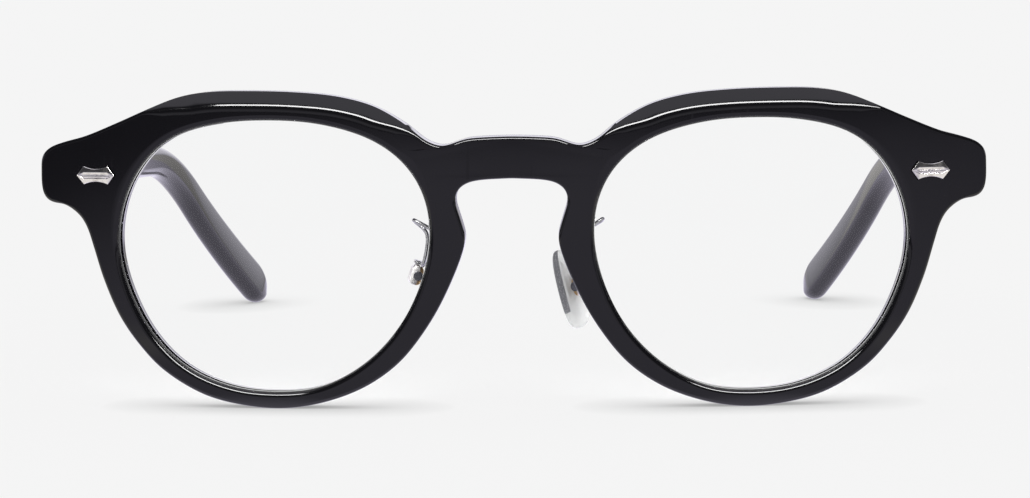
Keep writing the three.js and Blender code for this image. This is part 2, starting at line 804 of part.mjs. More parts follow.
function padTurn(sway) {
  const splay = padSplay + sway * padSwayTurn;
  return new THREE.Euler(0, -padLean * degrees, -splay * degrees, 'ZYX');
}

// Where a pad's pin lies, and how the pad is turned. A sway of 1 moves it towards the bridge
// and turns it more, and a sway of -1 does the opposite.
function padPlace(sway) {
  const matrix = new THREE.Matrix4().makeRotationFromEuler(padTurn(sway));
  return matrix.setPosition(
    bridgeHalfWidth - padPinInset - sway * padSwaySide,
    halfThickness + padPinBehind,
    lensCentreHeight - padPinDrop - sway * padSwayHeight,
  );
}

// The arm rises from its foot, bows out past the rim, turns back on itself and comes down
// in front of the pad to a plate on top of the box
function makePadArm(sway) {
  const foot = onSheet(armFootSide, armFootHeight, -halfThickness);
  const place = padPlace(sway);
  const pin = new THREE.Vector3().setFromMatrixPosition(place);
  const endHeight = boxHeight / 2 + fitGap / 2 + armEndThickness / 2;
  const boxMiddle = (lugRadius + lugRunningGap + boxWall - boxMouth) / 2;
  const end = new THREE.Vector3(boxMiddle, 0, endHeight).applyMatrix4(place);
  const bow = new THREE.Vector3(
    bridgeHalfWidth + armBowOut - sway * armBowSway,
    foot.y + armBowBack,
    armFootHeight + armBowRise,
  );
  const legEnd = new THREE.Vector3(pin.x - armLegInset, foot.y + armLegBack, pin.z + armLegRise);
  const points = [
    foot.clone().setY(foot.y - armFootSunk / 2),
    new THREE.Vector3(foot.x, foot.y + armRise, foot.z),
    bow,
    new THREE.Vector3(bow.x, bow.y + armBowDepth, bow.z - armRadius),
    new THREE.Vector3(legEnd.x - armLegSlant, legEnd.y, legEnd.z + armLegLength),
    legEnd,
    end,
  ];
  const plate = block(armEndLength, boxWidth, armEndThickness, boxMiddle, 0, endHeight)
    .applyMatrix4(place);
  const base = ontoSheet(makeArmFoot(), armFootSide, armFootHeight, -halfThickness);
  return join(wire(armRadius, points, 24), base, plate);
}

// The box holds the pad's lug between two ears. Its four corners are round.
function makePadBox() {
  const depth = lugRadius + lugRunningGap;
  const length = boxMouth + depth + boxWall;
  const middle = (depth + boxWall - boxMouth) / 2;
  const halfLong = length / 2 - boxRound;
  const halfTall = boxHeight / 2 - boxRound;
  const corners = [-1, 1].flatMap((end) => [-1, 1].map((level) => rod(
    boxRound,
    [middle + end * halfLong, -boxWidth / 2, level * halfTall],
    [middle + end * halfLong, boxWidth / 2, level * halfTall],
    12,
  )));
  const shell = join(
    block(length, boxWidth, 2 * halfTall, middle, 0, 0),
    block(2 * halfLong, boxWidth, boxHeight, middle, 0, 0),
    ...corners,
  );
  const slot = block(
    boxMouth + overrun + depth,
    lugThickness + 2 * lugRunningGap,
    boxHeight + 2 * overrun,
    (depth - boxMouth - overrun) / 2,
    0,
    0,
  );
  return cut(shell, slot, rod(pinRadius + pinClearance, [0, -boxWidth, 0], [0, boxWidth, 0], 12));
}

function makePadPin() {
  const half = boxWidth / 2;
  const headFrom = half + pinClearance / 2;
  return join(
    rod(pinRadius, [0, -headFrom - pinHeadHeight / 2, 0], [0, half, 0], 12),
    rod(pinHeadRadius, [0, -headFrom - pinHeadHeight, 0], [0, -headFrom, 0], 12),
  );
}

// The pad's metal core: a strip inside the pad and a lug that hangs on the pin
function makePadPlate(gap = 0) {
  const strip = block(
    plateThickness + 2 * gap,
    plateWidth + 2 * gap,
    plateLength + 2 * gap,
    -padSetIn,
    0,
    0,
  );
  const neck = block(padSetIn, lugThickness + 2 * gap, 2 * (lugRadius + gap), -padSetIn / 2, 0, 0);
  if (gap > 0) return join(strip, neck);
  const eye = rod(lugRadius, [0, -lugThickness / 2, 0], [0, lugThickness / 2, 0], 16);
  const hole = rod(pinRadius + pinClearance, [0, -boxWidth, 0], [0, boxWidth, 0], 12);
  return cut(join(strip, neck, eye), hole);
}

// The clear pad, cast round the strip: a soft drop with a straighter front edge, whose back
// half is wider below
function makeNosePad() {
  const rings = padStationShares.map((share) => {
    const fullness = Math.sqrt(Math.max(1 - Math.abs(share) ** padEndPower, 0));
    const ring = [];
    for (let step = 0; step < padSides; step += 1) {
      const angle = (2 * Math.PI * step) / padSides;
      const across = Math.sin(angle);
      const deep = Math.cos(angle);
      const halfWidth = across > 0
        ? padHalfWidthBack * fullness * (1 - padTaperShare * share)
        : padHalfWidthFront * Math.sqrt(fullness);
      const halfDepth = (deep > 0 ? padDepthOuter : padDepthInner) * Math.sqrt(fullness);
      ring.push(new THREE.Vector3(
        halfDepth * deep - padSetIn,
        halfWidth * across,
        (share * padLength) / 2,
      ));
    }
    return ring;
  });
  return cut(skin(rings), makePadPlate(plateGap));
}

function finish(color, roughness, metalness, opacity = 1) {
  return new THREE.MeshStandardMaterial({ color, roughness, metalness, opacity, transparent: opacity < 1 });
}

const acetate = () => finish(0x121114, 0.18, 0);
const steel = () => finish(0xb9b9bc, 0.25, 1);
const silver = () => finish(0xd8d6d4, 0.2, 1);
const brass = () => finish(0xa9864f, 0.3, 1);
const clearLens = () => finish(0xf4f7f8, 0.03, 0, 0.2);
const clearSilicone = () => finish(0xe9ecec, 0.25, 0, 0.35);

const glasses = new THREE.Group();
const slope = restSlope();

function add(parent, name, geometry, material) {
  const mesh = new THREE.Mesh(geometry, material);
  mesh.name = name;
  parent.add(mesh);
}

add(glasses, 'frame_front', makeFront(), acetate());

for (const [side, sign] of [['left', 1], ['right', -1]]) {
  const own = (geometry) => (sign > 0 ? geometry : mirrored(geometry));
  const groupAt = (at, turn = 0) => {
    const group = new THREE.Group();
    group.position.set(sign * at.x, at.y, at.z);
    group.rotation.z = sign * turn;
    glasses.add(group);
    return group;
  };

  add(glasses, `lens_${side}`, own(makeLens()), clearLens());

  const plaqueAt = onSheet(plaqueSide, plaqueHeight, halfThickness);
  const plaque = groupAt(plaqueAt, plaqueSide / baseCurveRadius);
  add(plaque, `rivet_plaque_${side}`, own(makePlaque()), silver());

  const hingeAt = onSheet(hingeSide, hingeHeight, -halfThickness);
  const hinge = groupAt(hingeAt, hingeSide / baseCurveRadius);
  add(hinge, `hinge_front_leaf_${side}`, own(makeFrontLeaf()), steel());

  const axisAt = onSheet(hingeSide, hingeHeight, -halfThickness - barrelStandOff);
  const temple = groupAt(axisAt);
  add(temple, `hinge_screw_${side}`, own(makeHingeScrew()), steel());
  add(temple, `hinge_temple_leaf_${side}`, own(makeTempleLeaf()), steel());
  add(temple, `temple_${side}`, own(makeTemple(slope)), acetate());
  add(temple, `temple_core_wire_${side}`, own(makeTempleCore(slope)), steel());

  const place = padPlace(sign);
  const pad = groupAt(new THREE.Vector3().setFromMatrixPosition(place));
  const turn = padTurn(sign);
  pad.rotation.set(0, sign * turn.y, sign * turn.z, 'ZYX');
  add(glasses, `pad_arm_${side}`, own(makePadArm(sign)), steel());
  add(pad, `pad_box_${side}`, own(makePadBox()), brass());
  add(pad, `pad_screw_${side}`, own(makePadPin()), steel());
  add(pad, `pad_core_plate_${side}`, own(makePadPlate()), steel());
  add(pad, `nose_pad_${side}`, own(makeNosePad()), clearSilicone());
}

// The origin is under the middle of the glasses, on the surface they stand on
const standing = new THREE.Group().add(glasses);
const bounds = new THREE.Box3().setFromObject(standing, true);
const middle = bounds.getCenter(new THREE.Vector3());
glasses.position.set(-middle.x, -middle.y, -bounds.min.z);

export default standing;
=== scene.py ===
import json
import math
import bmesh
import bpy
import numpy as np
from mathutils import Euler, Matrix, Vector


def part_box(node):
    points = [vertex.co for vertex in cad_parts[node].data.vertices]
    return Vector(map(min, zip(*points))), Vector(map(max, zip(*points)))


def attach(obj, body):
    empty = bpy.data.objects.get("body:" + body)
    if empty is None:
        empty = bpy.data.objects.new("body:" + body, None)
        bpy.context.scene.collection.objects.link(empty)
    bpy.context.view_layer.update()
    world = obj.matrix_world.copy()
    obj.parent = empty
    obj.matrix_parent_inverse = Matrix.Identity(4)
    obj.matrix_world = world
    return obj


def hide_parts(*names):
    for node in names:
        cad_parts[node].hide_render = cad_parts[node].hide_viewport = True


# Round acetate eyeglasses. The front looks along -Y, and left and right are the wearer's,
# so the left side is at +X. Sizes in the pieces' dictionaries are millimetres.
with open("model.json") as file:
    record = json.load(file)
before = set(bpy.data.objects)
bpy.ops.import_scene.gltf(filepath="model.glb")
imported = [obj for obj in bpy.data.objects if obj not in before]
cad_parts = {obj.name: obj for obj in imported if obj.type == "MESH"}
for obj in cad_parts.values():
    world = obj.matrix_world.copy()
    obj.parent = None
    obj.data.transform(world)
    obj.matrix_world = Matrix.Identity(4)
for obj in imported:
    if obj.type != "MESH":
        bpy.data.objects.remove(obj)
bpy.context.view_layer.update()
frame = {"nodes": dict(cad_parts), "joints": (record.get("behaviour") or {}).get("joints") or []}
mm = 0.001
joints = {joint["name"]: joint for joint in frame["joints"]}
sides = {"left": 1, "right": -1}
# cutters stand this far out of what they cut, and their own edges are nearly sharp
cutPast = 3.0
cutEdge = 0.02
print("frame loaded:", len(frame["nodes"]), "solids")


# what every piece goes through

def linked(name, data):
    thing = bpy.data.objects.new(name, data)
    bpy.context.scene.collection.objects.link(thing)
    return thing


def tidyMesh(mesh, sharpAngle=35, seam=1e-6, sliver=1e-7):
    work = bmesh.new()
    work.from_mesh(mesh)
    bmesh.ops.remove_doubles(work, verts=work.verts, dist=seam)
    bmesh.ops.dissolve_degenerate(work, edges=work.edges, dist=sliver)
    bmesh.ops.recalc_face_normals(work, faces=work.faces)
    for face in work.faces:
        face.smooth = True
    work.to_mesh(mesh)
    work.free()
    mesh.set_sharp_from_angle(angle=math.radians(sharpAngle))


def meshPiece(name, points, faces, sharpAngle=35):
    mesh = bpy.data.meshes.new(name)
    mesh.from_pydata([tuple(p) for p in points], [], [tuple(int(i) for i in f) for f in faces])
    tidyMesh(mesh, sharpAngle)
    return linked(name, mesh)


def workPiece(name, work):
    mesh = bpy.data.meshes.new(name)
    work.to_mesh(mesh)
    work.free()
    return linked(name, mesh)


def joinPieces(name, pieces, sharpAngle=35):
    work = bmesh.new()
    for piece in pieces:
        work.from_mesh(piece.data)
        bpy.data.objects.remove(piece)
    joined = workPiece(name, work)
    joined.data.set_sharp_from_angle(angle=math.radians(sharpAngle))
    return joined


def baked(piece, sharpAngle=35):
    # what the modifiers make, as the piece's own mesh
    bpy.context.view_layer.update()
    graph = bpy.context.evaluated_depsgraph_get()
    piece.data = bpy.data.meshes.new_from_object(piece.evaluated_get(graph))
    piece.modifiers.clear()
    tidyMesh(piece.data, sharpAngle)
    return piece


def cutAway(piece, cutters):
    for cutter in cutters:
        cut = piece.modifiers.new("cut", "BOOLEAN")
        cut.operation = "DIFFERENCE"
        cut.solver = "EXACT"
        cut.object = cutter
    baked(piece)
    for cutter in cutters:
        bpy.data.objects.remove(cutter)
    return piece


def grid(rows, around=True, along=False, capped=True):
    # rows[n][m] of points to a skin of quads, with flat ends where it stays open
    rows = np.asarray(rows, float)
    n, m = rows.shape[:2]
    faces = []
    for i in range(n if along else n - 1):
        for j in range(m if around else m - 1):
            k = (j + 1) % m
            ii = (i + 1) % n
            faces.append((i * m + j, i * m + k, ii * m + k, ii * m + j))
    if capped and not along:
        faces.append(tuple(range(m - 1, -1, -1)))
        faces.append(tuple((n - 1) * m + j for j in range(m)))
    return rows.reshape(-1, 3), faces


def skinPiece(name, rows, sharpAngle=35, capped=True):
    points, faces = grid(rows, capped=capped)
    return meshPiece(name, points * mm, faces, sharpAngle)


def softBlock(name, size, centre, bevel=0, segments=3):
    work = bmesh.new()
    bmesh.ops.create_cube(work, size=1)
    bmesh.ops.scale(work, vec=Vector(size) * mm, verts=work.verts)
    bmesh.ops.translate(work, vec=Vector(centre) * mm, verts=work.verts)
    if bevel:
        bmesh.ops.bevel(work, geom=work.edges[:], offset=bevel * mm, segments=segments, profile=0.5,
                        affect="EDGES")
    piece = workPiece(name, work)
    tidyMesh(piece.data)
    return piece


def placed(piece, matrix):
    piece.data.transform(matrix)
    if matrix.determinant() < 0:
        piece.data.flip_normals()
    return piece


def mirroredCopy(piece, name):
    twin = linked(name, piece.data.copy())
    twin.data.name = name
    return placed(twin, Matrix.Diagonal((-1, 1, 1, 1)))


def paintPoints(piece, name, shareAt):
    # a share from 0 to 1 at each point, worked out from its place in millimetres
    layer = piece.data.attributes.new(name, "FLOAT", "POINT")
    for vertex, value in zip(piece.data.vertices, layer.data):
        value.value = min(max(shareAt(vertex.co / mm), 0.0), 1.0)
    return piece


def dress(piece, finish, body, slot, *nodes):
    piece.data.materials.clear()
    piece.data.materials.append(finishes[finish])
    for polygon in piece.data.polygons:
        polygon.material_index = 0
    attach(piece, body)
    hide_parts(*nodes)


def dressPair(left, finish, body, slot, node):
    # the left piece and its mirror image, where {} in a body or a node stands for the side
    right = mirroredCopy(left, left.name.replace("Left", "Right"))
    for piece, side in zip((left, right), sides):
        dress(piece, finish, body.format(side), slot, node.format(side))


# nodes, and the shader groups that several finishes share

def setInputs(tree, node, inputs):
    # each input gets a link from another socket, a value or a colour
    for key, value in inputs.items():
        if isinstance(value, bpy.types.NodeSocket):
            tree.links.new(value, node.inputs[key])
        elif value is not None:
            socket = node.inputs[key]
            socket.default_value = (*value, 1) if socket.type == "RGBA" else value


def addNode(tree, kind, inputs=None, **settings):
    node = tree.nodes.new(kind)
    for name, value in settings.items():
        setattr(node, name, value)
    setInputs(tree, node, inputs or {})
    return node


def newTree(name, kind, inputs, outputs):
    tree = bpy.data.node_groups.new(name, kind)
    for way, sockets in (("INPUT", inputs), ("OUTPUT", outputs)):
        for socketName, socketKind, *value in sockets:
            socket = tree.interface.new_socket(name=socketName, in_out=way,
                                               socket_type="NodeSocket" + socketKind)
            if value:
                socket.default_value = value[0]
    return tree, tree.nodes.new("NodeGroupInput").outputs, tree.nodes.new("NodeGroupOutput")


def mathNode(tree, operation, *values):
    return addNode(tree, "ShaderNodeMath", dict(enumerate(values)), operation=operation).outputs[0]


def noiseNode(tree, vector, scale, detail=2, roughness=0.5):
    inputs = {"Vector": vector, "Scale": scale, "Detail": detail, "Roughness": roughness}
    return addNode(tree, "ShaderNodeTexNoise", inputs).outputs["Fac"]


def remap(tree, value, low, high, toLow=0.0, toHigh=1.0):
    inputs = {"Value": value, "From Min": low, "From Max": high, "To Min": toLow, "To Max": toHigh}
    return addNode(tree, "ShaderNodeMapRange", inputs, clamp=True).outputs["Result"]


def mixColors(tree, factor, first, second):
    inputs = {0: factor, 6: first, 7: second}
    return addNode(tree, "ShaderNodeMix", inputs, data_type="RGBA").outputs[2]


def blendValues(tree, factor, first, second):
    inputs = {0: factor, 2: first, 3: second}
    return addNode(tree, "ShaderNodeMix", inputs, data_type="FLOAT").outputs[0]


def bump(tree, height, distance):
    inputs = {"Height": height, "Distance": distance * mm, "Strength": 1.0}
    return addNode(tree, "ShaderNodeBump", inputs).outputs["Normal"]


def splitXyz(tree, vector):
    return addNode(tree, "ShaderNodeSeparateXYZ", {0: vector}).outputs


def useGroup(tree, group, inputs):
    return addNode(tree, "ShaderNodeGroup", inputs, node_tree=group).outputs


def pointShare(tree, name):
    return addNode(tree, "ShaderNodeAttribute", attribute_name=name).outputs["Fac"]


polishLook = {"stretch": (1.0, 0.25, 0.06), "turn": (0.3, 0.7, 0.5), "scratchLevels": (0.66, 0.74),
              "speckReach": 0.07, "speckPatches": 420.0, "speckLevels": (0.62, 0.64)}


def makePolishGroup(look):
    # slow waves left by the polishing wheel, with hairline scratches and a few dust specks
    tree, into, out = newTree(
        "handPolish", "ShaderNodeTree",
        [("Vector", "Vector"), ("Wave Scale", "Float", 60.0), ("Scratch Scale", "Float", 900.0),
         ("Speck Scale", "Float", 1500.0)],
        [("Wave", "Float"), ("Scratch", "Float"), ("Speck", "Float")])
    place = into["Vector"]
    stretch = addNode(tree, "ShaderNodeMapping",
                      {"Vector": place, "Scale": look["stretch"], "Rotation": look["turn"]})
    lines = noiseNode(tree, stretch.outputs["Vector"], into["Scratch Scale"], 3, 0.6)
    cells = addNode(tree, "ShaderNodeTexVoronoi", {"Vector": place, "Scale": into["Speck Scale"]})
    near = remap(tree, cells.outputs["Distance"], 0.0, look["speckReach"], 1.0, 0.0)
    chance = remap(tree, noiseNode(tree, place, look["speckPatches"], 1), *look["speckLevels"])
    setInputs(tree, out, {"Wave": noiseNode(tree, place, into["Wave Scale"], 2, 0.4),
                          "Scratch": remap(tree, lines, *look["scratchLevels"]),
                          "Speck": mathNode(tree, "MULTIPLY", near, chance)})
    return tree


brushLook = {"stretch": (0.05, 0.4, 1.0), "pits": 3200.0, "pitReach": (0.05, 0.25)}


def makeBrushGroup(look):
    # fine parallel lines of drawn or brushed metal, slow darker patches of tarnish, and pits
    tree, into, out = newTree(
        "brushedMetal", "ShaderNodeTree",
        [("Vector", "Vector"), ("Line Scale", "Float", 4000.0), ("Patch Scale", "Float", 700.0)],
        [("Line", "Float"), ("Patch", "Float"), ("Pit", "Float")])
    place = into["Vector"]
    stretch = addNode(tree, "ShaderNodeMapping", {"Vector": place, "Scale": look["stretch"]})
    cells = addNode(tree, "ShaderNodeTexVoronoi", {"Vector": place, "Scale": look["pits"]})
    setInputs(tree, out, {
        "Line": noiseNode(tree, stretch.outputs["Vector"], into["Line Scale"], 2, 0.6),
        "Patch": noiseNode(tree, place, into["Patch Scale"], 4, 0.6),
        "Pit": remap(tree, cells.outputs["Distance"], *look["pitReach"], 1.0, 0.0)})
    return tree


polishGroup = makePolishGroup(polishLook)
brushGroup = makeBrushGroup(brushLook)


def newMaterial(name, color, metallic, roughness):
    material = bpy.data.materials.new(name)
    material.use_nodes = True
    material.diffuse_color = (*color, 1)
    tree = material.node_tree
    shader = tree.nodes["Principled BSDF"]
    setInputs(tree, shader, {"Base Color": color, "Metallic": metallic, "Roughness": roughness})
    place = tree.nodes.new("ShaderNodeTexCoord").outputs["Object"]
    return material, tree, shader, place


def paleShadow(tree, shade):
    # an alpha that is full for every ray but a shadow's
    shadow = tree.nodes.new("ShaderNodeLightPath").outputs["Is Shadow Ray"]
    return mathNode(tree, "MULTIPLY_ADD", shadow, shade - 1.0, 1.0)


acetateLook = {"deep": (0.0042, 0.004, 0.0052), "bright": (0.0065, 0.0062, 0.0078), "clouds": 90.0,
               "roughness": 0.085, "scratched": 0.2, "scratches": 700.0, "waves": 70.0,
               "waveHeight": 0.01, "speckHeight": 0.15, "ior": 1.49}


def makeAcetate(look):
    material, tree, shader, place = newMaterial("blackAcetate", look["deep"], 0.0, look["roughness"])
    polish = useGroup(tree, polishGroup, {"Vector": place, "Wave Scale": look["waves"],
                                          "Scratch Scale": look["scratches"]})
    cloud = noiseNode(tree, place, look["clouds"], 3)
    lift = mathNode(tree, "MULTIPLY_ADD", polish["Speck"], look["speckHeight"], polish["Wave"])
    setInputs(tree, shader, {
        "Base Color": mixColors(tree, cloud, look["deep"], look["bright"]),
        "Roughness": remap(tree, polish["Scratch"], 0.0, 1.0, look["roughness"], look["scratched"]),
        "Normal": bump(tree, lift, look["waveHeight"]), "IOR": look["ior"]})
    return material


lensLook = {"color": (0.996, 0.998, 0.998), "speckColor": (0.9, 0.9, 0.9), "specks": 600.0,
            "roughness": 0.0, "ior": 1.13, "shade": 0.06}


def makeLensClear(look):
    material, tree, shader, place = newMaterial("clearLens", look["color"], 0.0, look["roughness"])
    polish = useGroup(tree, polishGroup, {"Vector": place, "Speck Scale": look["specks"]})
    setInputs(tree, shader, {
        "Base Color": mixColors(tree, polish["Speck"], look["color"], look["speckColor"]),
        "Transmission Weight": 1.0, "IOR": look["ior"], "Alpha": paleShadow(tree, look["shade"])})
    return material


# frost is the dark grey of the front-edge band: frosted silicone, and a painted reflection of the dark frame
siliconeLook = {"color": (0.97, 0.975, 0.975), "cloudy": (0.93, 0.935, 0.935), "frostAndPaintedReflection": (0.2, 0.2, 0.22),
                "roughness": (0.08, 0.5), "clear": (0.42, 0.1), "ior": 1.12, "shade": 0.3,
                "waves": 300.0, "waveHeight": 0.03, "bandLevels": (0.7, 0.76),
                "grains": 5200.0, "grainLevels": (0.3, 0.5), "leastGrain": 0.75}


def makeSilicone(look):
    # clear all through, with a frosted band along the front edge whose dark grey is also a painted
    # reflection of the dark frame; pairs are for clear and frosted
    material, tree, shader, place = newMaterial("clearSilicone", look["color"], 0.0, look["roughness"][0])
    wave = useGroup(tree, polishGroup, {"Vector": place, "Wave Scale": look["waves"]})["Wave"]
    grain = noiseNode(tree, place, look["grains"], 2, 0.7)
    frostAndPaintedReflection = mathNode(tree, "MULTIPLY", remap(tree, pointShare(tree, "frontEdge"), *look["bandLevels"]),
                     remap(tree, grain, *look["grainLevels"], look["leastGrain"], 1.0))
    body = mixColors(tree, wave, look["cloudy"], look["color"])
    setInputs(tree, shader, {
        "Base Color": mixColors(tree, frostAndPaintedReflection, body, look["frostAndPaintedReflection"]),
        "Transmission Weight": remap(tree, frostAndPaintedReflection, 0.0, 1.0, *look["clear"]),
        "Roughness": remap(tree, frostAndPaintedReflection, 0.0, 1.0, *look["roughness"]),
        "Normal": bump(tree, wave, look["waveHeight"]),
        "IOR": look["ior"], "Alpha": paleShadow(tree, look["shade"])})
    return material


metalLooks = {
    "plaqueSilver": {"bright": (0.88, 0.86, 0.84), "dull": (0.6, 0.57, 0.55), "roughness": (0.07, 0.2),
                     "lines": 5000.0, "patches": 900.0, "lineHeight": 0.004},
    "hingeSteel": {"bright": (0.62, 0.62, 0.56), "dull": (0.44, 0.44, 0.4), "roughness": (0.2, 0.42),
                   "lines": 3500.0, "patches": 500.0, "lineHeight": 0.006},
    "screwSteel": {"bright": (0.62, 0.62, 0.63), "dull": (0.4, 0.4, 0.41), "roughness": (0.18, 0.4),
                   "lines": 6000.0, "patches": 900.0, "lineHeight": 0.005},
    "padScrewSteel": {"bright": (0.2, 0.2, 0.22), "dull": (0.07, 0.07, 0.08), "roughness": (0.25, 0.5),
                      "lines": 6000.0, "patches": 3000.0, "lineHeight": 0.02},
    "wireSteel": {"bright": (0.4, 0.4, 0.41), "dull": (0.16, 0.155, 0.16), "roughness": (0.1, 0.3),
                  "lines": 5000.0, "patches": 1200.0, "lineHeight": 0.003},
    "stripSteel": {"bright": (0.62, 0.62, 0.63), "dull": (0.3, 0.3, 0.31), "roughness": (0.25, 0.55),
                   "lines": 6000.0, "patches": 2600.0, "lineHeight": 0.02},
    "boxBrass": {"bright": (0.55, 0.37, 0.17), "dull": (0.2, 0.12, 0.05), "roughness": (0.22, 0.5),
                 "lines": 4500.0, "patches": 1500.0, "lineHeight": 0.008, "plated": (0.86, 0.84, 0.82)},
}
# how the patches dull, roughen and wear every metal
metalWear = {"tarnish": (0.48, 0.72), "roughening": (0.35, 0.75), "pitDepth": 0.6,
             "plateWear": 0.3, "plateLevels": (0.42, 0.62)}


def makeMetal(name):
    look = metalLooks[name]
    material, tree, shader, place = newMaterial(name, look["bright"], 1.0, look["roughness"][0])
    brush = useGroup(tree, brushGroup, {"Vector": place, "Line Scale": look["lines"],
                                        "Patch Scale": look["patches"]})
    tarnish = remap(tree, brush["Patch"], *metalWear["tarnish"])
    color = mixColors(tree, tarnish, look["bright"], look["dull"])
    if "plated" in look:
        # plated on the side away from the nose, worn to the bare metal towards it
        away = pointShare(tree, "awayFromNose")
        worn = mathNode(tree, "MULTIPLY_ADD", brush["Patch"], metalWear["plateWear"], away)
        color = mixColors(tree, remap(tree, worn, *metalWear["plateLevels"]), color, look["plated"])
    height = mathNode(tree, "MULTIPLY_ADD", brush["Pit"], -metalWear["pitDepth"], brush["Line"])
    setInputs(tree, shader, {
        "Base Color": color, "Normal": bump(tree, height, look["lineHeight"]),
        "Roughness": remap(tree, brush["Patch"], *metalWear["roughening"], *look["roughness"])})
    return material


finishes = {name: makeMetal(name) for name in metalLooks}
finishes["blackAcetate"] = makeAcetate(acetateLook)
finishes["clearLens"] = makeLensClear(lensLook)
finishes["clearSilicone"] = makeSilicone(siliconeLook)
print("finishes made:", ", ".join(sorted(finishes)))


# Geometry Nodes

def endTree(tree, into, out, geometry):
    whole = addNode(tree, "GeometryNodeRealizeInstances", {"Geometry": geometry})
    painted = addNode(tree, "GeometryNodeSetMaterial",
                      {"Geometry": whole.outputs["Geometry"], "Material": into["Material"]})
    setInputs(tree, out, {0: painted.outputs["Geometry"]})
    return tree


def makeSweepTree():
    # a rounded section swept along a line that holds its sizes
    tree, into, out = newTree(
        "sweepSection", "GeometryNodeTree",
        [("Geometry", "Geometry"), ("Section Points", "Int", 32), ("Corner", "Float", mm),
         ("Material", "Material")], [("Geometry", "Geometry")])

    def vectorMath(operation, a, b=None, scale=None):
        inputs = {0: a, 1: b, "Scale": scale}
        return addNode(tree, "ShaderNodeVectorMath", inputs, operation=operation).outputs[0]

    def named(name, kind):
        node = addNode(tree, "GeometryNodeInputNamedAttribute", {"Name": name}, data_type=kind)
        return node.outputs["Attribute"]

    def capture(geometry, fields):
        node = addNode(tree, "GeometryNodeCaptureAttribute", {"Geometry": geometry}, domain="POINT")
        for kind, name, field in fields:
            node.capture_items.new(kind, name)
            setInputs(tree, node, {name: field})
        return node.outputs

    position = addNode(tree, "GeometryNodeInputPosition").outputs[0]
    line = addNode(tree, "GeometryNodeMeshToCurve", {"Mesh": into["Geometry"]})
    kept = capture(line.outputs["Curve"], [
        ("VECTOR", "centre", position),
        ("VECTOR", "ahead", addNode(tree, "GeometryNodeInputTangent").outputs[0]),
        ("VECTOR", "upWay", named("upWay", "FLOAT_VECTOR")),
        ("FLOAT", "halfTall", named("halfTall", "FLOAT")),
        ("FLOAT", "halfAcross", named("halfAcross", "FLOAT"))])
    ring = addNode(tree, "GeometryNodeCurvePrimitiveCircle",
                   {"Radius": 1.0, "Resolution": into["Section Points"]})
    turn = addNode(tree, "ShaderNodeCombineXYZ",
                   {"Z": mathNode(tree, "DIVIDE", math.pi, into["Section Points"])})
    turned = addNode(tree, "GeometryNodeTransform",
                     {"Geometry": ring.outputs["Curve"], "Rotation": turn.outputs[0]})
    section = capture(turned.outputs["Geometry"], [("VECTOR", "unit", position)])
    skin = addNode(tree, "GeometryNodeCurveToMesh", {
        "Curve": kept["Geometry"], "Profile Curve": section["Geometry"], "Fill Caps": True})

    unit = splitXyz(tree, section["unit"])
    least = mathNode(tree, "MINIMUM", kept["halfTall"], kept["halfAcross"])
    corner = mathNode(tree, "MINIMUM", into["Corner"], least)

    def reach(share, half):
        flat = mathNode(tree, "SUBTRACT", half, corner)
        rounded = mathNode(tree, "MULTIPLY", share, corner)
        return mathNode(tree, "MULTIPLY_ADD", mathNode(tree, "SIGN", share), flat, rounded)

    side = vectorMath("NORMALIZE", vectorMath("CROSS_PRODUCT", kept["ahead"], kept["upWay"]))
    across = vectorMath("SCALE", side, scale=reach(unit["X"], kept["halfAcross"]))
    tall = vectorMath("SCALE", kept["upWay"], scale=reach(unit["Y"], kept["halfTall"]))
    moved = addNode(tree, "GeometryNodeSetPosition", {
        "Geometry": skin.outputs["Mesh"],
        "Position": vectorMath("ADD", vectorMath("ADD", kept["centre"], across), tall)})
    return endTree(tree, into, out, moved.outputs["Geometry"])


def makeRowTree():
    # copies of a small shape in a straight row
    tree, into, out = newTree(
        "rowOfCopies", "GeometryNodeTree",
        [("Geometry", "Geometry"), ("Count", "Int", 3), ("Step", "Vector"), ("Material", "Material")],
        [("Geometry", "Geometry")])
    line = addNode(tree, "GeometryNodeMeshLine", {"Count": into["Count"], "Offset": into["Step"]},
                   mode="OFFSET")
    copies = addNode(tree, "GeometryNodeInstanceOnPoints",
                     {"Points": line.outputs["Mesh"], "Instance": into["Geometry"]})
    return endTree(tree, into, out, copies.outputs["Instances"])


sweepTree = makeSweepTree()
rowTree = makeRowTree()


def runTree(piece, tree, values, sharpAngle=35):
    modifier = piece.modifiers.new("shape", "NODES")
    modifier.node_group = tree
    for item in tree.interface.items_tree:
        if item.in_out == "INPUT" and item.name in values:
            modifier[item.identifier] = values[item.name]
    return baked(piece, sharpAngle)


def rowOf(piece, count, step, material=None):
    # copies upwards, `step` millimetres apart
    values = {"Count": count, "Step": (0.0, 0.0, step * mm), "Material": material}
    return runTree(piece, rowTree, values)


def sweep(name, stations, material, corner, sectionPoints=32, sharpAngle=35):
    # stations: (place, up, half height, half width) in millimetres, along the line
    places, ups, talls, widths = zip(*stations)
    mesh = bpy.data.meshes.new(name)
    mesh.from_pydata([tuple(Vector(place) * mm) for place in places],
                     [(i, i + 1) for i in range(len(places) - 1)], [])
    layer = mesh.attributes.new("upWay", "FLOAT_VECTOR", "POINT")
    for value, up in zip(layer.data, ups):
        value.vector = up
    for attribute, halves in (("halfTall", talls), ("halfAcross", widths)):
        layer = mesh.attributes.new(attribute, "FLOAT", "POINT")
        for value, half in zip(layer.data, halves):
            value.value = half * mm
    values = {"Section Points": sectionPoints, "Corner": corner * mm, "Material": material}
    return runTree(linked(name, mesh), sweepTree, values, sharpAngle)


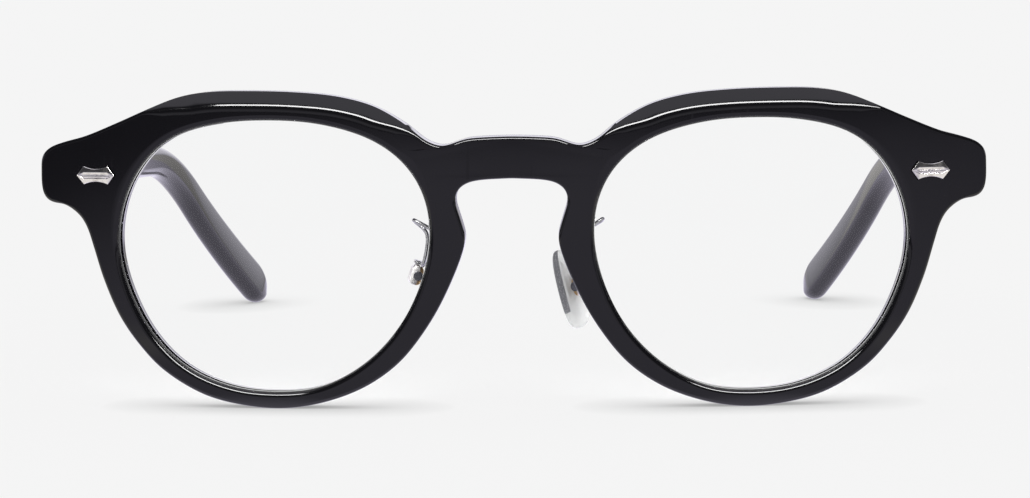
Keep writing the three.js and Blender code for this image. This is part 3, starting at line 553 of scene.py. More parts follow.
def roundRod(name, start, end, radius, edge, material=None, sectionPoints=32):
    # a rod with rounded ends, as stations for the sweep
    start, end = Vector(start), Vector(end)
    ahead = (end - start).normalized()
    up = ahead.orthogonal().normalized()
    near, far = [], []
    for turn in np.radians((0, 30, 60, 90)):
        inset = ahead * (edge * (1 - math.cos(turn)))
        half = radius - edge * (1 - math.sin(turn))
        near.append((start + inset, up, half, half))
        far.insert(0, (end - inset, up, half, half))
    return sweep(name, near + far, material, radius * 2, sectionPoints)


# the front

frontSizes = {
    "thickness": 4.4, "baseCurve": 320.0, "halfWidth": 72.6, "height": 48.5,
    "edgeRound": 0.85, "outerRound": 0.5, "backRound": 0.7, "roundShare": 0.46,
    "browTall": 2.1, "browDeep": 1.9, "browShares": (0.165, 0.29, 0.668, 0.806), "browFloorShare": 0.6,
    "ridgeRound": 0.55, "ridgeSpread": 1.9, "ridgeBlend": 0.12, "leastFlat": 0.05, "leastFacet": 0.02,
    "lensSide": 36.5, "lensHeight": 23.3, "openingWide": 23.85, "openingTall": 20.77,
    "grooveDeep": 0.8, "grooveHalf": 0.8, "grooveBack": 1.9,
    "pitch": 0.42, "smoothing": 0.55, "bridgeMargin": 0.15,
}

# angle round the lens, share of the half width, share of the height, from the middle of the
# bridge's top edge over the brow, round the end piece and under the rim to the bridge's arch
outlineShares = [
    (145, 0, 0.8585), (143.5, 0.05, 0.8565), (142, 0.094, 0.851), (141, 0.118, 0.839),
    (139.5, 0.143, 0.8292), (137, 0.175, 0.8445), (132, 0.217, 0.8935), (126, 0.258, 0.9312),
    (120, 0.3, 0.9595), (111, 0.367, 0.984), (98, 0.45, 0.9962), (82, 0.551, 1),
    (69.5, 0.639, 0.9965), (60.5, 0.702, 0.9802), (50, 0.77, 0.9403), (42, 0.83, 0.901),
    (34, 0.903, 0.8565), (29.5, 0.948, 0.838), (26.5, 0.981, 0.819), (23.5, 0.997, 0.794),
    (20, 1, 0.748), (16.5, 0.998, 0.685), (14, 0.989, 0.656), (12, 0.972, 0.644),
    (10, 0.95, 0.64), (5.5, 0.917, 0.606), (2, 0.901, 0.568), (-2, 0.887, 0.504),
    (-11, 0.866, 0.402), (-22, 0.831, 0.283), (-33, 0.787, 0.19), (-44.5, 0.738, 0.116),
    (-60, 0.652, 0.041), (-76, 0.565, 0.008), (-93, 0.48, 0), (-109, 0.394, 0.021),
    (-125, 0.309, 0.07), (-140, 0.238, 0.146), (-154, 0.181, 0.252), (-166.5, 0.138, 0.365),
    (-181.5, 0.101, 0.503), (-185, 0.097, 0.546), (-190, 0.107, 0.604), (-195, 0.117, 0.658),
    (-199.5, 0.112, 0.689), (-204, 0.094, 0.711), (-206.5, 0.069, 0.7206), (-209, 0, 0.7268),
]

# the lens opening, anticlockwise from its temple side, as shares of its half sizes
openingShares = [
    (1, 0.05), (0.972, 0.36), (0.858, 0.64), (0.67, 0.85), (0.43, 0.955), (0.2, 0.993), (-0.02, 1),
    (-0.24, 0.984), (-0.465, 0.932), (-0.694, 0.824), (-0.887, 0.627), (-0.993, 0.352), (-1, 0.053),
    (-0.937, -0.228), (-0.828, -0.481), (-0.675, -0.696), (-0.484, -0.864), (-0.262, -0.972),
    (-0.02, -1), (0.217, -0.978), (0.455, -0.893), (0.663, -0.738), (0.827, -0.511), (0.94, -0.243),
]

halfThick = frontSizes["thickness"] / 2
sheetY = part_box("frame_front")[0].y / mm + halfThick


def onSheet(side, height, proud):
    # a place on the front's curved sheet: round from the middle, up, and out of the front
    radius = frontSizes["baseCurve"] + proud
    angle = side / frontSizes["baseCurve"]
    x = radius * np.sin(angle)
    y = sheetY + frontSizes["baseCurve"] - radius * np.cos(angle)
    return np.stack(np.broadcast_arrays(x, y, height), axis=-1)


def sheetTurn(side):
    return Matrix.Rotation(side / frontSizes["baseCurve"], 4, "Z")


def ontoSheet(size, proud):
    at = onSheet(size["side"], size["height"], proud)
    return Matrix.Translation(Vector(at) * mm) @ sheetTurn(size["side"])


def throughPoints(points, steps, closed=False):
    # a smooth line through given points, `steps` to a span
    points = np.asarray(points, float)
    if closed:
        points = np.vstack([points[-1:], points, points[:2]])
    else:
        points = np.vstack([2 * points[0] - points[1], points, 2 * points[-1] - points[-2]])
    line = []
    for a, b, c, d in zip(points, points[1:], points[2:], points[3:]):
        before, span, after = (max(np.linalg.norm(q - p), 1e-6) ** 0.5 for p, q in ((a, b), (b, c), (c, d)))
        leave = ((b - a) / before - (c - a) / (before + span) + (c - b) / span) * span
        arrive = ((c - b) / span - (d - b) / (span + after) + (d - c) / after) * span
        square = 3 * (c - b) - 2 * leave - arrive
        cubic = 2 * (b - c) + leave + arrive
        for u in np.arange(steps) / steps:
            line.append(b + leave * u + square * u * u + cubic * u ** 3)
    if not closed:
        line.append(points[-2])
    return np.array(line)


def evenly(line, pitch):
    lengths = np.concatenate([[0], np.cumsum(np.linalg.norm(np.diff(line[:, :2], axis=0), axis=1))])
    at = np.linspace(0, lengths[-1], int(round(lengths[-1] / pitch)) + 1)
    return np.stack([np.interp(at, lengths, column) for column in line.T], axis=1)


def blurred(line, sigma):
    # goes on with its mirror image at both ends, so the two halves meet squarely on the middle
    reach = int(math.ceil(4 * sigma))
    head, tail = (part * (-1, 1, 1) for part in (line[reach:0:-1], line[-2:-reach - 2:-1]))
    head[:, 2] = 2 * line[0, 2] - head[:, 2]
    tail[:, 2] = 2 * line[-1, 2] - tail[:, 2]
    weights = np.exp(-0.5 * (np.arange(-reach, reach + 1) / sigma) ** 2)
    weights /= weights.sum()
    whole = np.vstack([head, line, tail])
    return np.stack([np.convolve(column, weights, mode="valid") for column in whole.T], axis=1)


# the opening as a short Fourier row, so that its curve has no corner anywhere
openingHalves = (frontSizes["openingWide"], frontSizes["openingTall"])
openingLine = throughPoints(np.array(openingShares) * openingHalves, 40, closed=True)
lineAngles = np.arctan2(openingLine[:, 1], openingLine[:, 0])
order = np.argsort(lineAngles)
evenAngles = np.linspace(-math.pi, math.pi, 720, endpoint=False)
evenRadius = np.interp(evenAngles, lineAngles[order], np.hypot(*openingLine.T)[order], period=2 * math.pi)
harmonics = np.arange(15)
cosParts = np.array([(evenRadius * np.cos(k * evenAngles)).mean() * (2 if k else 1) for k in harmonics])
sinParts = np.array([(evenRadius * np.sin(k * evenAngles)).mean() * 2 for k in harmonics])


def openingPoint(angle, offset):
    turns = harmonics[:, None] * angle[None, :]
    radius = cosParts @ np.cos(turns) + sinParts @ np.sin(turns)
    slope = (sinParts * harmonics) @ np.cos(turns) - (cosParts * harmonics) @ np.sin(turns)
    alongX = slope * np.cos(angle) - radius * np.sin(angle)
    alongZ = slope * np.sin(angle) + radius * np.cos(angle)
    length = np.hypot(alongX, alongZ)
    x = frontSizes["lensSide"] + radius * np.cos(angle) + offset * alongZ / length
    z = frontSizes["lensHeight"] + radius * np.sin(angle) - offset * alongX / length
    return np.stack([x, z], axis=-1)


def smoothStep(low, high, value):
    t = np.clip((value - low) / (high - low), 0, 1)
    return t * t * (3 - 2 * t)


def frontColumns():
    # the half outline, the way inward, the angle round the lens, and what lies on the middle
    size = frontSizes
    rows = [(x * size["halfWidth"], z * size["height"], math.radians(a)) for a, x, z in outlineShares]
    line = blurred(evenly(throughPoints(rows, 12), size["pitch"]), size["smoothing"] / size["pitch"])
    along = np.gradient(line[:, :2], axis=0)
    along /= np.linalg.norm(along, axis=1)[:, None]
    inward = np.stack([along[:, 1], -along[:, 0]], axis=1)
    line[0, 0] = line[-1, 0] = 0
    inward[0], inward[-1] = (0, -1), (0, 1)
    low, high = line[-1], line[0]
    steps = int(round((high[1] - low[1]) / size["pitch"])) + 1
    shares = np.arange(1, steps) / steps
    up = size["bridgeMargin"] + (1 - 2 * size["bridgeMargin"]) * shares
    middle = np.stack([np.zeros(steps - 1), low[1] + (high[1] - low[1]) * up,
                       low[2] + (high[2] - 2 * math.pi - low[2]) * shares], axis=1)
    points = np.vstack([line, middle])
    inward = np.vstack([inward, np.zeros((steps - 1, 2))])
    return points[:, :2], inward, points[:, 2], np.arange(len(points)) >= len(line)


def makeFrontShell():
    size = frontSizes
    outline, inward, angle, onMiddle = frontColumns()
    width = np.linalg.norm(openingPoint(angle, 0.0) - outline, axis=1)
    rounding = np.minimum(size["edgeRound"], width * size["roundShare"])
    outerRound = np.minimum(size["outerRound"], rounding)
    backRound = np.minimum(size["backRound"], width * size["roundShare"])
    # the slanted facet along the brow, which fades out at both ends
    start, full, fade, end = (share * size["halfWidth"] for share in size["browShares"])
    facet = size["browTall"] * smoothStep(start, full, outline[:, 0])
    facet = facet * (1 - smoothStep(fade, end, outline[:, 0]))
    browFloor = size["lensHeight"] + size["openingTall"] * size["browFloorShare"]
    facet = np.where(outline[:, 1] < browFloor, 0, facet)
    ridge = size["ridgeRound"] * np.clip(facet, 0, 1)
    blend = size["ridgeBlend"] * np.clip(facet, 0, 1)
    reach = np.minimum(facet + size["ridgeSpread"] * ridge, width - rounding - size["leastFlat"])
    reach = np.where(onMiddle, 0, np.maximum(outerRound, reach))
    slope = size["browDeep"] / size["browTall"]
    groove = halfThick - size["grooveBack"]
    sections = []

    def inner(offset):
        return openingPoint(angle, offset)

    def outer(offset):
        return outline + inward * np.reshape(offset, (-1, 1))

    def add(flat, proud):
        sections.append(onSheet(flat[:, 0], flat[:, 1], np.broadcast_to(proud, (len(flat),))))

    def slant(offset):
        return slope * (facet - offset + np.sqrt((facet - offset) ** 2 + ridge ** 2)) / 2

    # out of the opening and its groove, over the face, round the outline and along the back
    add(inner(0.0), -halfThick + backRound)
    add(inner(0.0), groove - size["grooveHalf"])
    add(inner(size["grooveDeep"]), groove)
    add(inner(0.0), groove + size["grooveHalf"])
    for turn in np.radians(np.linspace(0, 90, 9)):
        add(inner(rounding * (1 - math.cos(turn))), halfThick - rounding + rounding * math.sin(turn))
    for share in (0.06, 0.2, 0.4, 0.6, 0.8, 0.94):
        add(inner(rounding) + (outer(reach) - inner(rounding)) * share, halfThick)
    for u in np.linspace(1, 0, 30):
        offset = reach * (1 - math.cos(math.pi * u)) / 2
        inside = np.clip(outerRound ** 2 - (outerRound - offset) ** 2, 0, None)
        rounded = np.where(offset < outerRound, outerRound - np.sqrt(inside), 0)
        slanted = np.where(facet > size["leastFacet"], slant(offset) - slant(reach), 0)
        depth = (rounded + slanted + np.sqrt((rounded - slanted) ** 2 + blend ** 2) - blend) / 2
        add(outer(offset), np.where(onMiddle, halfThick, halfThick - depth))
    backReach = np.where(onMiddle, 0, backRound)
    for turn in np.radians(np.linspace(0, 90, 7)):
        add(outer(backReach * (1 - math.cos(turn))), -halfThick + backReach * (1 - math.sin(turn)))
    for share in (0.25, 0.5, 0.75):
        add(outer(backReach) + (inner(backRound) - outer(backReach)) * share, -halfThick)
    for turn in np.radians(np.linspace(0, 75, 6)):
        add(inner(backRound * (1 - math.sin(turn))), -halfThick + backRound * (1 - math.cos(turn)))
    points, faces = grid(np.stack(sections, axis=1), along=True)
    kept = [f for f in faces if max(abs(points[i][0]) for i in f) > 1e-9]
    faces = kept + [tuple(i + len(points) for i in reversed(f)) for f in kept]
    return meshPiece("front", np.vstack([points, points * (-1, 1, 1)]) * mm, faces)


plaqueSizes = {
    "side": 63.7, "height": 35.6, "length": 6.0, "width": 2.8, "proud": 0.5, "sunk": 0.35,
    "cornerShare": 0.64, "waistShare": 0.7, "gap": 0.13, "floorGap": 0.1, "rim": 0.1,
    "rows": 70, "columns": 24, "cutColumns": 10, "edgeShare": 0.99, "edgeDrops": (0.05, 0.12),
    # height over the plaque's middle and how far the face lies in there: a lower slope, a bead
    # between two grooves, a narrow band and the upper slope
    "profile": ((-1.4, 0.2), (-0.5, 0.0), (-0.46, 0.07), (-0.38, 0.07), (-0.34, 0.02),
                (-0.2, -0.03), (0.0, -0.01), (0.04, 0.06), (0.12, 0.06), (0.16, 0.04),
                (0.46, -0.02), (0.54, -0.01), (1.4, 0.22)),
}


def plaqueEdges(size, extra, steps):
    # matching places on the lower and the upper edge, from one point of the plaque to the other
    length = size["length"] / 2 + extra
    width = size["width"] / 2 + extra
    corner = length * size["cornerShare"]
    u = np.linspace(0, 1, steps + 1)
    waist = 1 - 4 * u * (1 - u) * (1 - size["waistShare"])
    lower = np.stack([corner * (2 * u - 1), -width * waist], axis=1)
    lower = np.vstack([(-length, 0), lower, (length, 0)])
    return lower, lower * (1, -1)


def plaqueOutline(size, extra, steps):
    lower, upper = plaqueEdges(size, extra, steps)
    return np.vstack([lower, upper[-2:0:-1]])


def makePlaqueCutter(size):
    outline = plaqueOutline(size, size["gap"], size["cutColumns"])
    rows = [[(x, y, z) for x, z in outline] for y in (size["sunk"] + size["floorGap"], -cutPast)]
    return placed(skinPiece("plaqueCutter", rows), ontoSheet(size, halfThick))


def makePlaque(size):
    # a face made of lines from the lower edge to the upper one, a wall all round it, and a back
    heights, depths = zip(*size["profile"])

    def onFace(flat, drop):
        y = np.interp(flat[..., 1], heights, depths) - size["proud"] + drop
        return np.stack([flat[..., 0], y, flat[..., 1]], axis=-1)

    lower, upper = plaqueEdges(size, -size["rim"], size["columns"])
    shares = np.linspace(0, 1, size["rows"])[None, :, None]
    face = onFace(lower[:, None] + (upper - lower)[:, None] * shares, 0.0)
    inner, outer = (plaqueOutline(size, extra, size["columns"]) for extra in (-size["rim"], 0.0))
    first, second = size["edgeDrops"]
    wall = [onFace(inner, 0.0), onFace(outer * size["edgeShare"], first), onFace(outer, second)]
    wall.append(wall[-1] * (1, 0, 1) + (0, size["sunk"], 0))
    facePoints, faceFaces = grid(face, around=False, capped=False)
    wallPoints, wallFaces = grid(wall, capped=False)
    start = len(facePoints)
    wallFaces = [tuple(i + start for i in f) for f in wallFaces]
    points = np.vstack([facePoints, wallPoints])
    back = tuple(range(len(points) - len(outer), len(points)))
    plaque = meshPiece("plaqueLeft", points * mm, faceFaces + wallFaces + [back], 25)
    return placed(plaque, ontoSheet(size, halfThick))


hingeSizes = {
    "side": 66.8, "height": 35.2, "standOff": 1.9, "barrelRadius": 1.35, "barrelTall": 1.1,
    "barrelGap": 0.12, "barrels": 5, "slotGap": 0.15, "leafThick": 1.0, "leafSunk": 0.7, "leafTall": 6.18,
    "frontLeafLong": 5.0, "overlap": 0.9, "templeLeafLong": 9.0, "webHalf": 0.9, "webEdge": 0.08,
    "inside": 1.65, "gap": 0.1, "edge": 0.16, "screwRadius": 0.65, "headRadius": 1.05, "headTall": 0.5,
    "headEdge": 0.18, "shankEdge": 0.1, "slotWide": 0.3, "slotDeep": 0.25,
}

armFootSizes = {"side": 9.7, "height": 25.4, "radius": 1.25, "thick": 0.6, "edge": 0.14, "sunk": 0.3,
                "gap": 0.12}


def makeLeafCutter(size):
    gap = size["gap"]
    block = (size["frontLeafLong"] + 2 * gap, size["leafSunk"] + cutPast, size["leafTall"] + 2 * gap)
    centre = (size["overlap"] - size["frontLeafLong"] / 2, (cutPast - size["leafSunk"]) / 2, 0)
    return placed(softBlock("leafCutter", block, centre), ontoSheet(size, -halfThick))


def makeFootCutter(size):
    cutter = roundRod("footCutter", (0, -size["sunk"], 0), (0, cutPast, 0), size["radius"] + size["gap"],
                      cutEdge, sectionPoints=40)
    return placed(cutter, ontoSheet(size, -halfThick))


front = makeFrontShell()
cutters = []
for maker, size in ((makePlaqueCutter, plaqueSizes), (makeLeafCutter, hingeSizes),
                    (makeFootCutter, armFootSizes)):
    cutter = maker(size)
    cutters += [cutter, mirroredCopy(cutter, cutter.name + "Right")]
cutAway(front, cutters)
dress(front, "blackAcetate", "front", "acetate", "frame_front")
print("front:", len(front.data.polygons), "faces")


# the lenses

lensSizes = {"thick": 1.8, "bevel": 0.5, "bevelHalf": 0.08, "crown": 1.3, "clearance": 0.06,
             "rings": 18, "ringPower": 0.8, "steps": 180}


def makeLens(size):
    groove = halfThick - frontSizes["grooveBack"]
    angles = np.linspace(0, 2 * math.pi, size["steps"], endpoint=False)
    centre = np.array([frontSizes["lensSide"], frontSizes["lensHeight"]])

    def ring(share, offset, proud):
        flat = centre + (openingPoint(angles, offset) - centre) * share
        return onSheet(flat[:, 0], flat[:, 1], groove + proud + size["crown"] * (1 - share ** 2))

    shares = np.linspace(0, 1, size["rings"]) ** size["ringPower"]
    rows = [ring(share, -size["clearance"], size["thick"] / 2) for share in shares]
    rows += [ring(1, size["bevel"], proud) for proud in (size["bevelHalf"], -size["bevelHalf"])]
    rows += [ring(share, -size["clearance"], -size["thick"] / 2) for share in shares[::-1]]
    return skinPiece("lensLeft", rows, 20, capped=False)


dressPair(makeLens(lensSizes), "clearLens", "front", "lens", "lens_{}")
dressPair(makePlaque(plaqueSizes), "plaqueSilver", "front", "plaque", "rivet_plaque_{}")
print("lenses and plaques made")


# the temples

templeSizes = {
    "length": 145.0, "thick": 4.0, "buttTall": 8.2, "bendTall": 5.2, "tipTall": 7.8,
    "bendStart": 92.0, "bendRadius": 36.0, "bendAngle": 37.0, "toeIn": 1.6,
    "curlStart": 76.0, "curlInward": 15.5, "curlPower": 1.8, "corner": 1.75, "tipRound": 4.4,
    "shoulderShare": 0.1, "slimShare": 0.15, "buttGap": 0.25, "spacing": 1.2,
}
hingeAxis = Vector(joints["temple_left_fold"]["pos_m"]) / mm
atHinge = Matrix.Translation(hingeAxis * mm)


def templeLine(along, slope):
    # the place and the up direction this far along a temple that slopes down by `slope` degrees
    size = templeSizes
    pitch = math.radians(slope)
    bend = math.radians(size["bendAngle"])
    arc = size["bendRadius"] * bend
    straight = min(along, size["bendStart"])
    turned = pitch + min(max((along - size["bendStart"]) / arc, 0), 1) * bend
    past = max(along - size["bendStart"] - arc, 0)
    back = (straight * math.cos(pitch) + size["bendRadius"] * (math.sin(turned) - math.sin(pitch))
            + past * math.cos(turned))
    drop = (straight * math.sin(pitch) + size["bendRadius"] * (math.cos(pitch) - math.cos(turned))
            + past * math.sin(turned))
    curl = max(along - size["curlStart"], 0) / (size["length"] - size["curlStart"])
    inward = along * math.tan(math.radians(size["toeIn"])) + size["curlInward"] * curl ** size["curlPower"]
    side = hingeSizes["inside"] + size["thick"] / 2 - inward
    place = hingeAxis + Vector((side, back - hingeSizes["standOff"], -drop))
    return place, Vector((0, math.sin(turned), math.cos(turned)))


def templeHalves(along):
    size = templeSizes
    bendEnd = size["bendStart"] + size["bendRadius"] * math.radians(size["bendAngle"])
    tipStart = size["length"] - size["tipRound"]
    narrowed = float(smoothStep(size["bendStart"] * size["shoulderShare"], size["bendStart"], along))
    widened = float(smoothStep(size["bendStart"], tipStart, along))
    height = (size["buttTall"] + (size["bendTall"] - size["buttTall"]) * narrowed
              + (size["tipTall"] - size["bendTall"]) * widened)
    end = max(along - tipStart, 0) / size["tipRound"]
    rounding = math.sqrt(max(1 - end ** 2, 0))
    slimmed = float(smoothStep(bendEnd - size["bendRadius"] / 2, size["length"], along))
    width = size["thick"] * (1 - size["slimShare"] * slimmed)
    return height / 2 * rounding, width / 2 * math.sqrt(rounding)


def templeStations(slope, spacing):
    size = templeSizes
    tipStart = size["length"] - size["tipRound"]
    along = list(np.arange(-size["buttTall"] / 2, tipStart, spacing))
    along += list(tipStart + size["tipRound"] * np.sin(np.radians(np.linspace(0, 89.5, 16))))
    return [(*templeLine(a, slope), *templeHalves(a)) for a in along]


def restSlope():
    # the slope that sets the tip on the floor
    flat, steep = -12.0, 37.0
    for halving in range(30):
        middle = (flat + steep) / 2
        lowest = min(place.z - tall * up.z for place, up, tall, _ in templeStations(middle, 3.0))
        if lowest > 0:
            flat = middle
        else:
            steep = middle
    return steep


def makeTemple(size, hinge):
    stations = templeStations(restSlope(), size["spacing"])
    temple = sweep("templeLeft", stations, finishes["blackAcetate"], size["corner"], 40)
    # the butt is cut parallel to the back of the end piece
    work = bmesh.new()
    work.from_mesh(temple.data)
    butt = hingeAxis + Vector((0, size["buttGap"] - hinge["standOff"], 0))
    ahead = sheetTurn(hinge["side"]).to_3x3() @ Vector((0, -1, 0))
    cut = bmesh.ops.bisect_plane(work, geom=work.verts[:] + work.edges[:] + work.faces[:],
                                 plane_co=butt * mm, plane_no=ahead, clear_outer=True)
    rim = [part for part in cut["geom_cut"] if isinstance(part, bmesh.types.BMEdge)]
    bmesh.ops.contextual_create(work, geom=rim)
    work.to_mesh(temple.data)
    work.free()
    gap = hinge["gap"]
    deep = hinge["leafSunk"] + gap
    long = hinge["templeLeafLong"] + hinge["barrelRadius"]
    recess = softBlock("leafRecess", (deep + cutPast, long + 2 * gap, hinge["leafTall"] + 2 * gap),
                       (hinge["inside"] + (deep - cutPast) / 2, hinge["templeLeafLong"] - long / 2, 0))
    return cutAway(temple, [placed(recess, atHinge)])


templeLeft = makeTemple(templeSizes, hingeSizes)
dressPair(templeLeft, "blackAcetate", "temple_{}", "acetate", "temple_{}")
print("temples:", len(templeLeft.data.polygons), "faces each")


# the hinges

def barrelHeights(size, first):
    # the middles of every second barrel, from the lowest one that belongs to a leaf
    pitch = size["barrelTall"] + size["barrelGap"]
    return [(index - (size["barrels"] - 1) / 2) * pitch for index in range(first, size["barrels"], 2)]


def makeLeaf(name, first, size, plate, barrelsAt, web, webCentre):
    # a plate with its barrels, and a web from the plate to each barrel
    metal = finishes["hingeSteel"]
    heights = barrelHeights(size, first)
    half = size["barrelTall"] / 2
    barrel = roundRod("barrels", (0, 0, heights[0] - half), (0, 0, heights[0] + half),
                      size["barrelRadius"], size["edge"], metal, 48)
    rowOf(barrel, len(heights), 2 * (size["barrelTall"] + size["barrelGap"]), metal)
    placed(barrel, Matrix.Translation((0, barrelsAt * mm, 0)))
    webs = [softBlock("web", (*web, size["barrelTall"]), (*webCentre, z), size["webEdge"], 2)
            for z in heights]
    return joinPieces(name, [plate, barrel, *webs])


def makeFrontLeaf(size):
    centre = (size["overlap"] - size["frontLeafLong"] / 2, size["leafThick"] / 2 - size["leafSunk"], 0)
    plate = softBlock("plate", (size["frontLeafLong"], size["leafThick"], size["leafTall"]), centre,
                      size["edge"])
    leaf = makeLeaf("frontLeafLeft", 0, size, plate, size["standOff"],
                    (2 * size["webHalf"], size["standOff"]), (0, size["standOff"] / 2))
    return placed(leaf, ontoSheet(size, -halfThick))


def makeTempleLeaf(size):
    outer = size["inside"] + size["leafSunk"]
    long = size["templeLeafLong"] + size["barrelRadius"]
    plate = softBlock("plate", (size["leafThick"], long, size["leafTall"]),
                      (outer - size["leafThick"] / 2, size["templeLeafLong"] - long / 2, 0), size["edge"])
    half = size["barrelTall"] / 2 + size["barrelGap"]
    radius = size["barrelRadius"] + size["slotGap"]
    cutAway(plate, [roundRod("slot", (0, 0, z - half), (0, 0, z + half), radius, cutEdge, sectionPoints=40)
                    for z in barrelHeights(size, 0)])
    leaf = makeLeaf("templeLeafLeft", 1, size, plate, 0.0,
                    (size["inside"], 2 * size["webHalf"]), (size["inside"] / 2, 0))
    return placed(leaf, atHinge)


def makeHingeScrew(size):
    metal = finishes["screwSteel"]
    half = (size["barrels"] * size["barrelTall"] + (size["barrels"] - 1) * size["barrelGap"]) / 2
    top = half + size["barrelGap"] / 2
    edge = size["shankEdge"]
    shank = roundRod("shank", (0, 0, -half), (0, 0, top + edge), size["screwRadius"], edge, metal)
    head = roundRod("head", (0, 0, top), (0, 0, top + size["headTall"]), size["headRadius"],
                    size["headEdge"], metal, 48)
    slot = softBlock("slot", (4 * size["headRadius"], size["slotWide"], 2 * size["slotDeep"]),
                     (0, 0, top + size["headTall"]))
    cutAway(head, [slot])
    return placed(joinPieces("hingeScrewLeft", [shank, head]), atHinge)


dressPair(makeFrontLeaf(hingeSizes), "hingeSteel", "front", "hinge", "hinge_front_leaf_{}")
dressPair(makeTempleLeaf(hingeSizes), "hingeSteel", "temple_{}", "hinge", "hinge_temple_leaf_{}")
dressPair(makeHingeScrew(hingeSizes), "screwSteel", "front", "screw", "hinge_screw_{}")
print("hinges made")


# the nose pads: both arms are bent a little towards the wearer's right, so that one pad is
# turned further round than the other

padSizes = {
    "lean": 17.0, "splay": 22.0, "sway": 13.0, "setIn": 2.1, "long": 12.4, "frontHalf": 2.7,
    "backHalf": 4.1, "innerDeep": 1.1, "outerDeep": 0.8, "taper": 0.14, "endPower": 2.4,
    "rings": 44, "ringPoints": 56, "frostAndReflectionEnd": (-0.56, -0.7), "frostAndReflectionLeast": 0.2,
    "boxWide": 2.3, "boxTall": 3.0, "boxWall": 0.35, "boxMouth": 0.7, "boxRound": 0.75,
    "boxEdge": 0.12, "boxEdgeBow": 0.3,
    "lugRadius": 0.65, "lugThick": 0.8, "lugGap": 0.15, "lugEdge": 0.08, "neckShare": 1.6,
    "stripWide": 1.6, "stripThick": 0.5, "stripLong": 8.6, "stripEdge": 0.05, "holes": 7, "holeShare": 0.27,
    "armRadius": 0.3, "armSunk": 0.15, "armRise": 1.4, "bowOut": 1.65, "bowRise": 2.9, "bowBack": 2.3,
    "bowDeep": 1.5, "bowSway": 0.7, "legBack": 3.0, "legInset": 1.15, "legSlant": 0.6, "legRise": 2.1,
    "legLong": 4.6, "endLong": 1.5, "endThick": 0.6, "endGap": 0.15, "endEdge": 0.15,
}


def padMatrix(side):
    pin = Vector(joints[f"pad_{side}_rock"]["pos_m"])
    sign = sides[side]
    splay = padSizes["splay"] + sign * padSizes["sway"]
    turn = Euler((0, -sign * math.radians(padSizes["lean"]), -sign * math.radians(splay)), "XYZ")
    return Matrix.Translation(pin) @ turn.to_matrix().to_4x4() @ Matrix.Diagonal((sign, 1, 1, 1))


def makePad(size):
    # a soft drop with a straighter front edge, rounder on the side that meets the nose
    def fullnessAt(share):
        return math.sqrt(max(1 - abs(share) ** size["endPower"], 0))

    rows = []
    for turn in np.radians(np.linspace(-88, 88, size["rings"])):
        share = math.sin(turn)
        fullness = fullnessAt(share)
        back = size["backHalf"] * fullness * (1 - size["taper"] * share)
        front = size["frontHalf"] * math.sqrt(fullness)
        ring = []
        for a in np.linspace(0, 2 * math.pi, size["ringPoints"], endpoint=False):
            wide = math.sin(a) * (back if math.sin(a) > 0 else front)
            deep = math.cos(a) * math.sqrt(fullness)
            deep *= size["outerDeep"] if deep > 0 else size["innerDeep"]
            ring.append((deep - size["setIn"], wide, share * size["long"] / 2))
        rows.append(ring)

    def nearFront(at):
        share = at.z / (size["long"] / 2)
        front = size["frontHalf"] * math.sqrt(fullnessAt(share))
        band = 1 - float(smoothStep(*size["frostAndReflectionEnd"], share))
        return min(-at.y / max(front, size["frostAndReflectionLeast"]), 1) * band

    # how near each place is to the front edge, for the frosted band there with its painted reflection
    return paintPoints(skinPiece("nosePad", rows, 60), "frontEdge", nearFront)


def makeStrip(size):
    # the metal core: a strip with a row of holes, and the lug that hangs on the screw
    metal = finishes["stripSteel"]
    back = -size["setIn"]
    strip = softBlock("coreStrip", (size["stripThick"], size["stripWide"], size["stripLong"]), (back, 0, 0),
                      size["stripEdge"], 2)
    pitch = size["stripLong"] / size["holes"]
    lowest = (pitch - size["stripLong"]) / 2
    hole = roundRod("hole", (back - cutPast, 0, lowest), (back + cutPast, 0, lowest),
                    size["stripWide"] * size["holeShare"], cutEdge, sectionPoints=20)
    cutAway(strip, [rowOf(hole, size["holes"], pitch)])
    neck = softBlock("neck", (size["setIn"], size["lugThick"], size["lugRadius"] * size["neckShare"]),
                     (back / 2, 0, 0), size["lugEdge"], 2)
    half = size["lugThick"] / 2
    eye = roundRod("eye", (0, -half, 0), (0, half, 0), size["lugRadius"], size["lugEdge"], metal)
    return joinPieces("padCore", [strip, neck, eye])


def boxSpan(size):
    # the box's length, its middle, and how far it reaches past the pin on the inside
    depth = size["lugRadius"] + size["lugGap"]
    back = depth + size["boxWall"]
    return size["boxMouth"] + back, (back - size["boxMouth"]) / 2, depth


def makeBox(size):
    # a short brass channel with round corners, open towards the pad
    long, middle, depth = boxSpan(size)
    half, edge = size["boxWide"] / 2, size["boxEdge"]
    bow = edge * size["boxEdgeBow"]

    def ring(inset, y):
        corner = size["boxRound"] - inset
        points = []
        for sx, sz, start in ((1, 1, 0), (-1, 1, 90), (-1, -1, 180), (1, -1, 270)):
            for turn in np.radians(np.linspace(start, start + 90, 9)):
                points.append((middle + sx * (long / 2 - size["boxRound"]) + corner * math.cos(turn), y,
                               sz * (size["boxTall"] / 2 - size["boxRound"]) + corner * math.sin(turn)))
        return points

    steps = ((edge, 0), (bow, bow), (0, edge))
    rows = [ring(inset, ahead - half) for inset, ahead in steps]
    rows += [ring(inset, half - ahead) for inset, ahead in steps[::-1]]
    mouth = size["boxMouth"] + cutPast
    slot = softBlock("slot", (mouth + depth, size["lugThick"] + 2 * size["lugGap"],
                              size["boxTall"] + 2 * cutPast), ((depth - mouth) / 2, 0, 0))
    box = cutAway(skinPiece("padBox", rows), [slot])
    return paintPoints(box, "awayFromNose", lambda at: (at.x - middle + long / 2) / long)


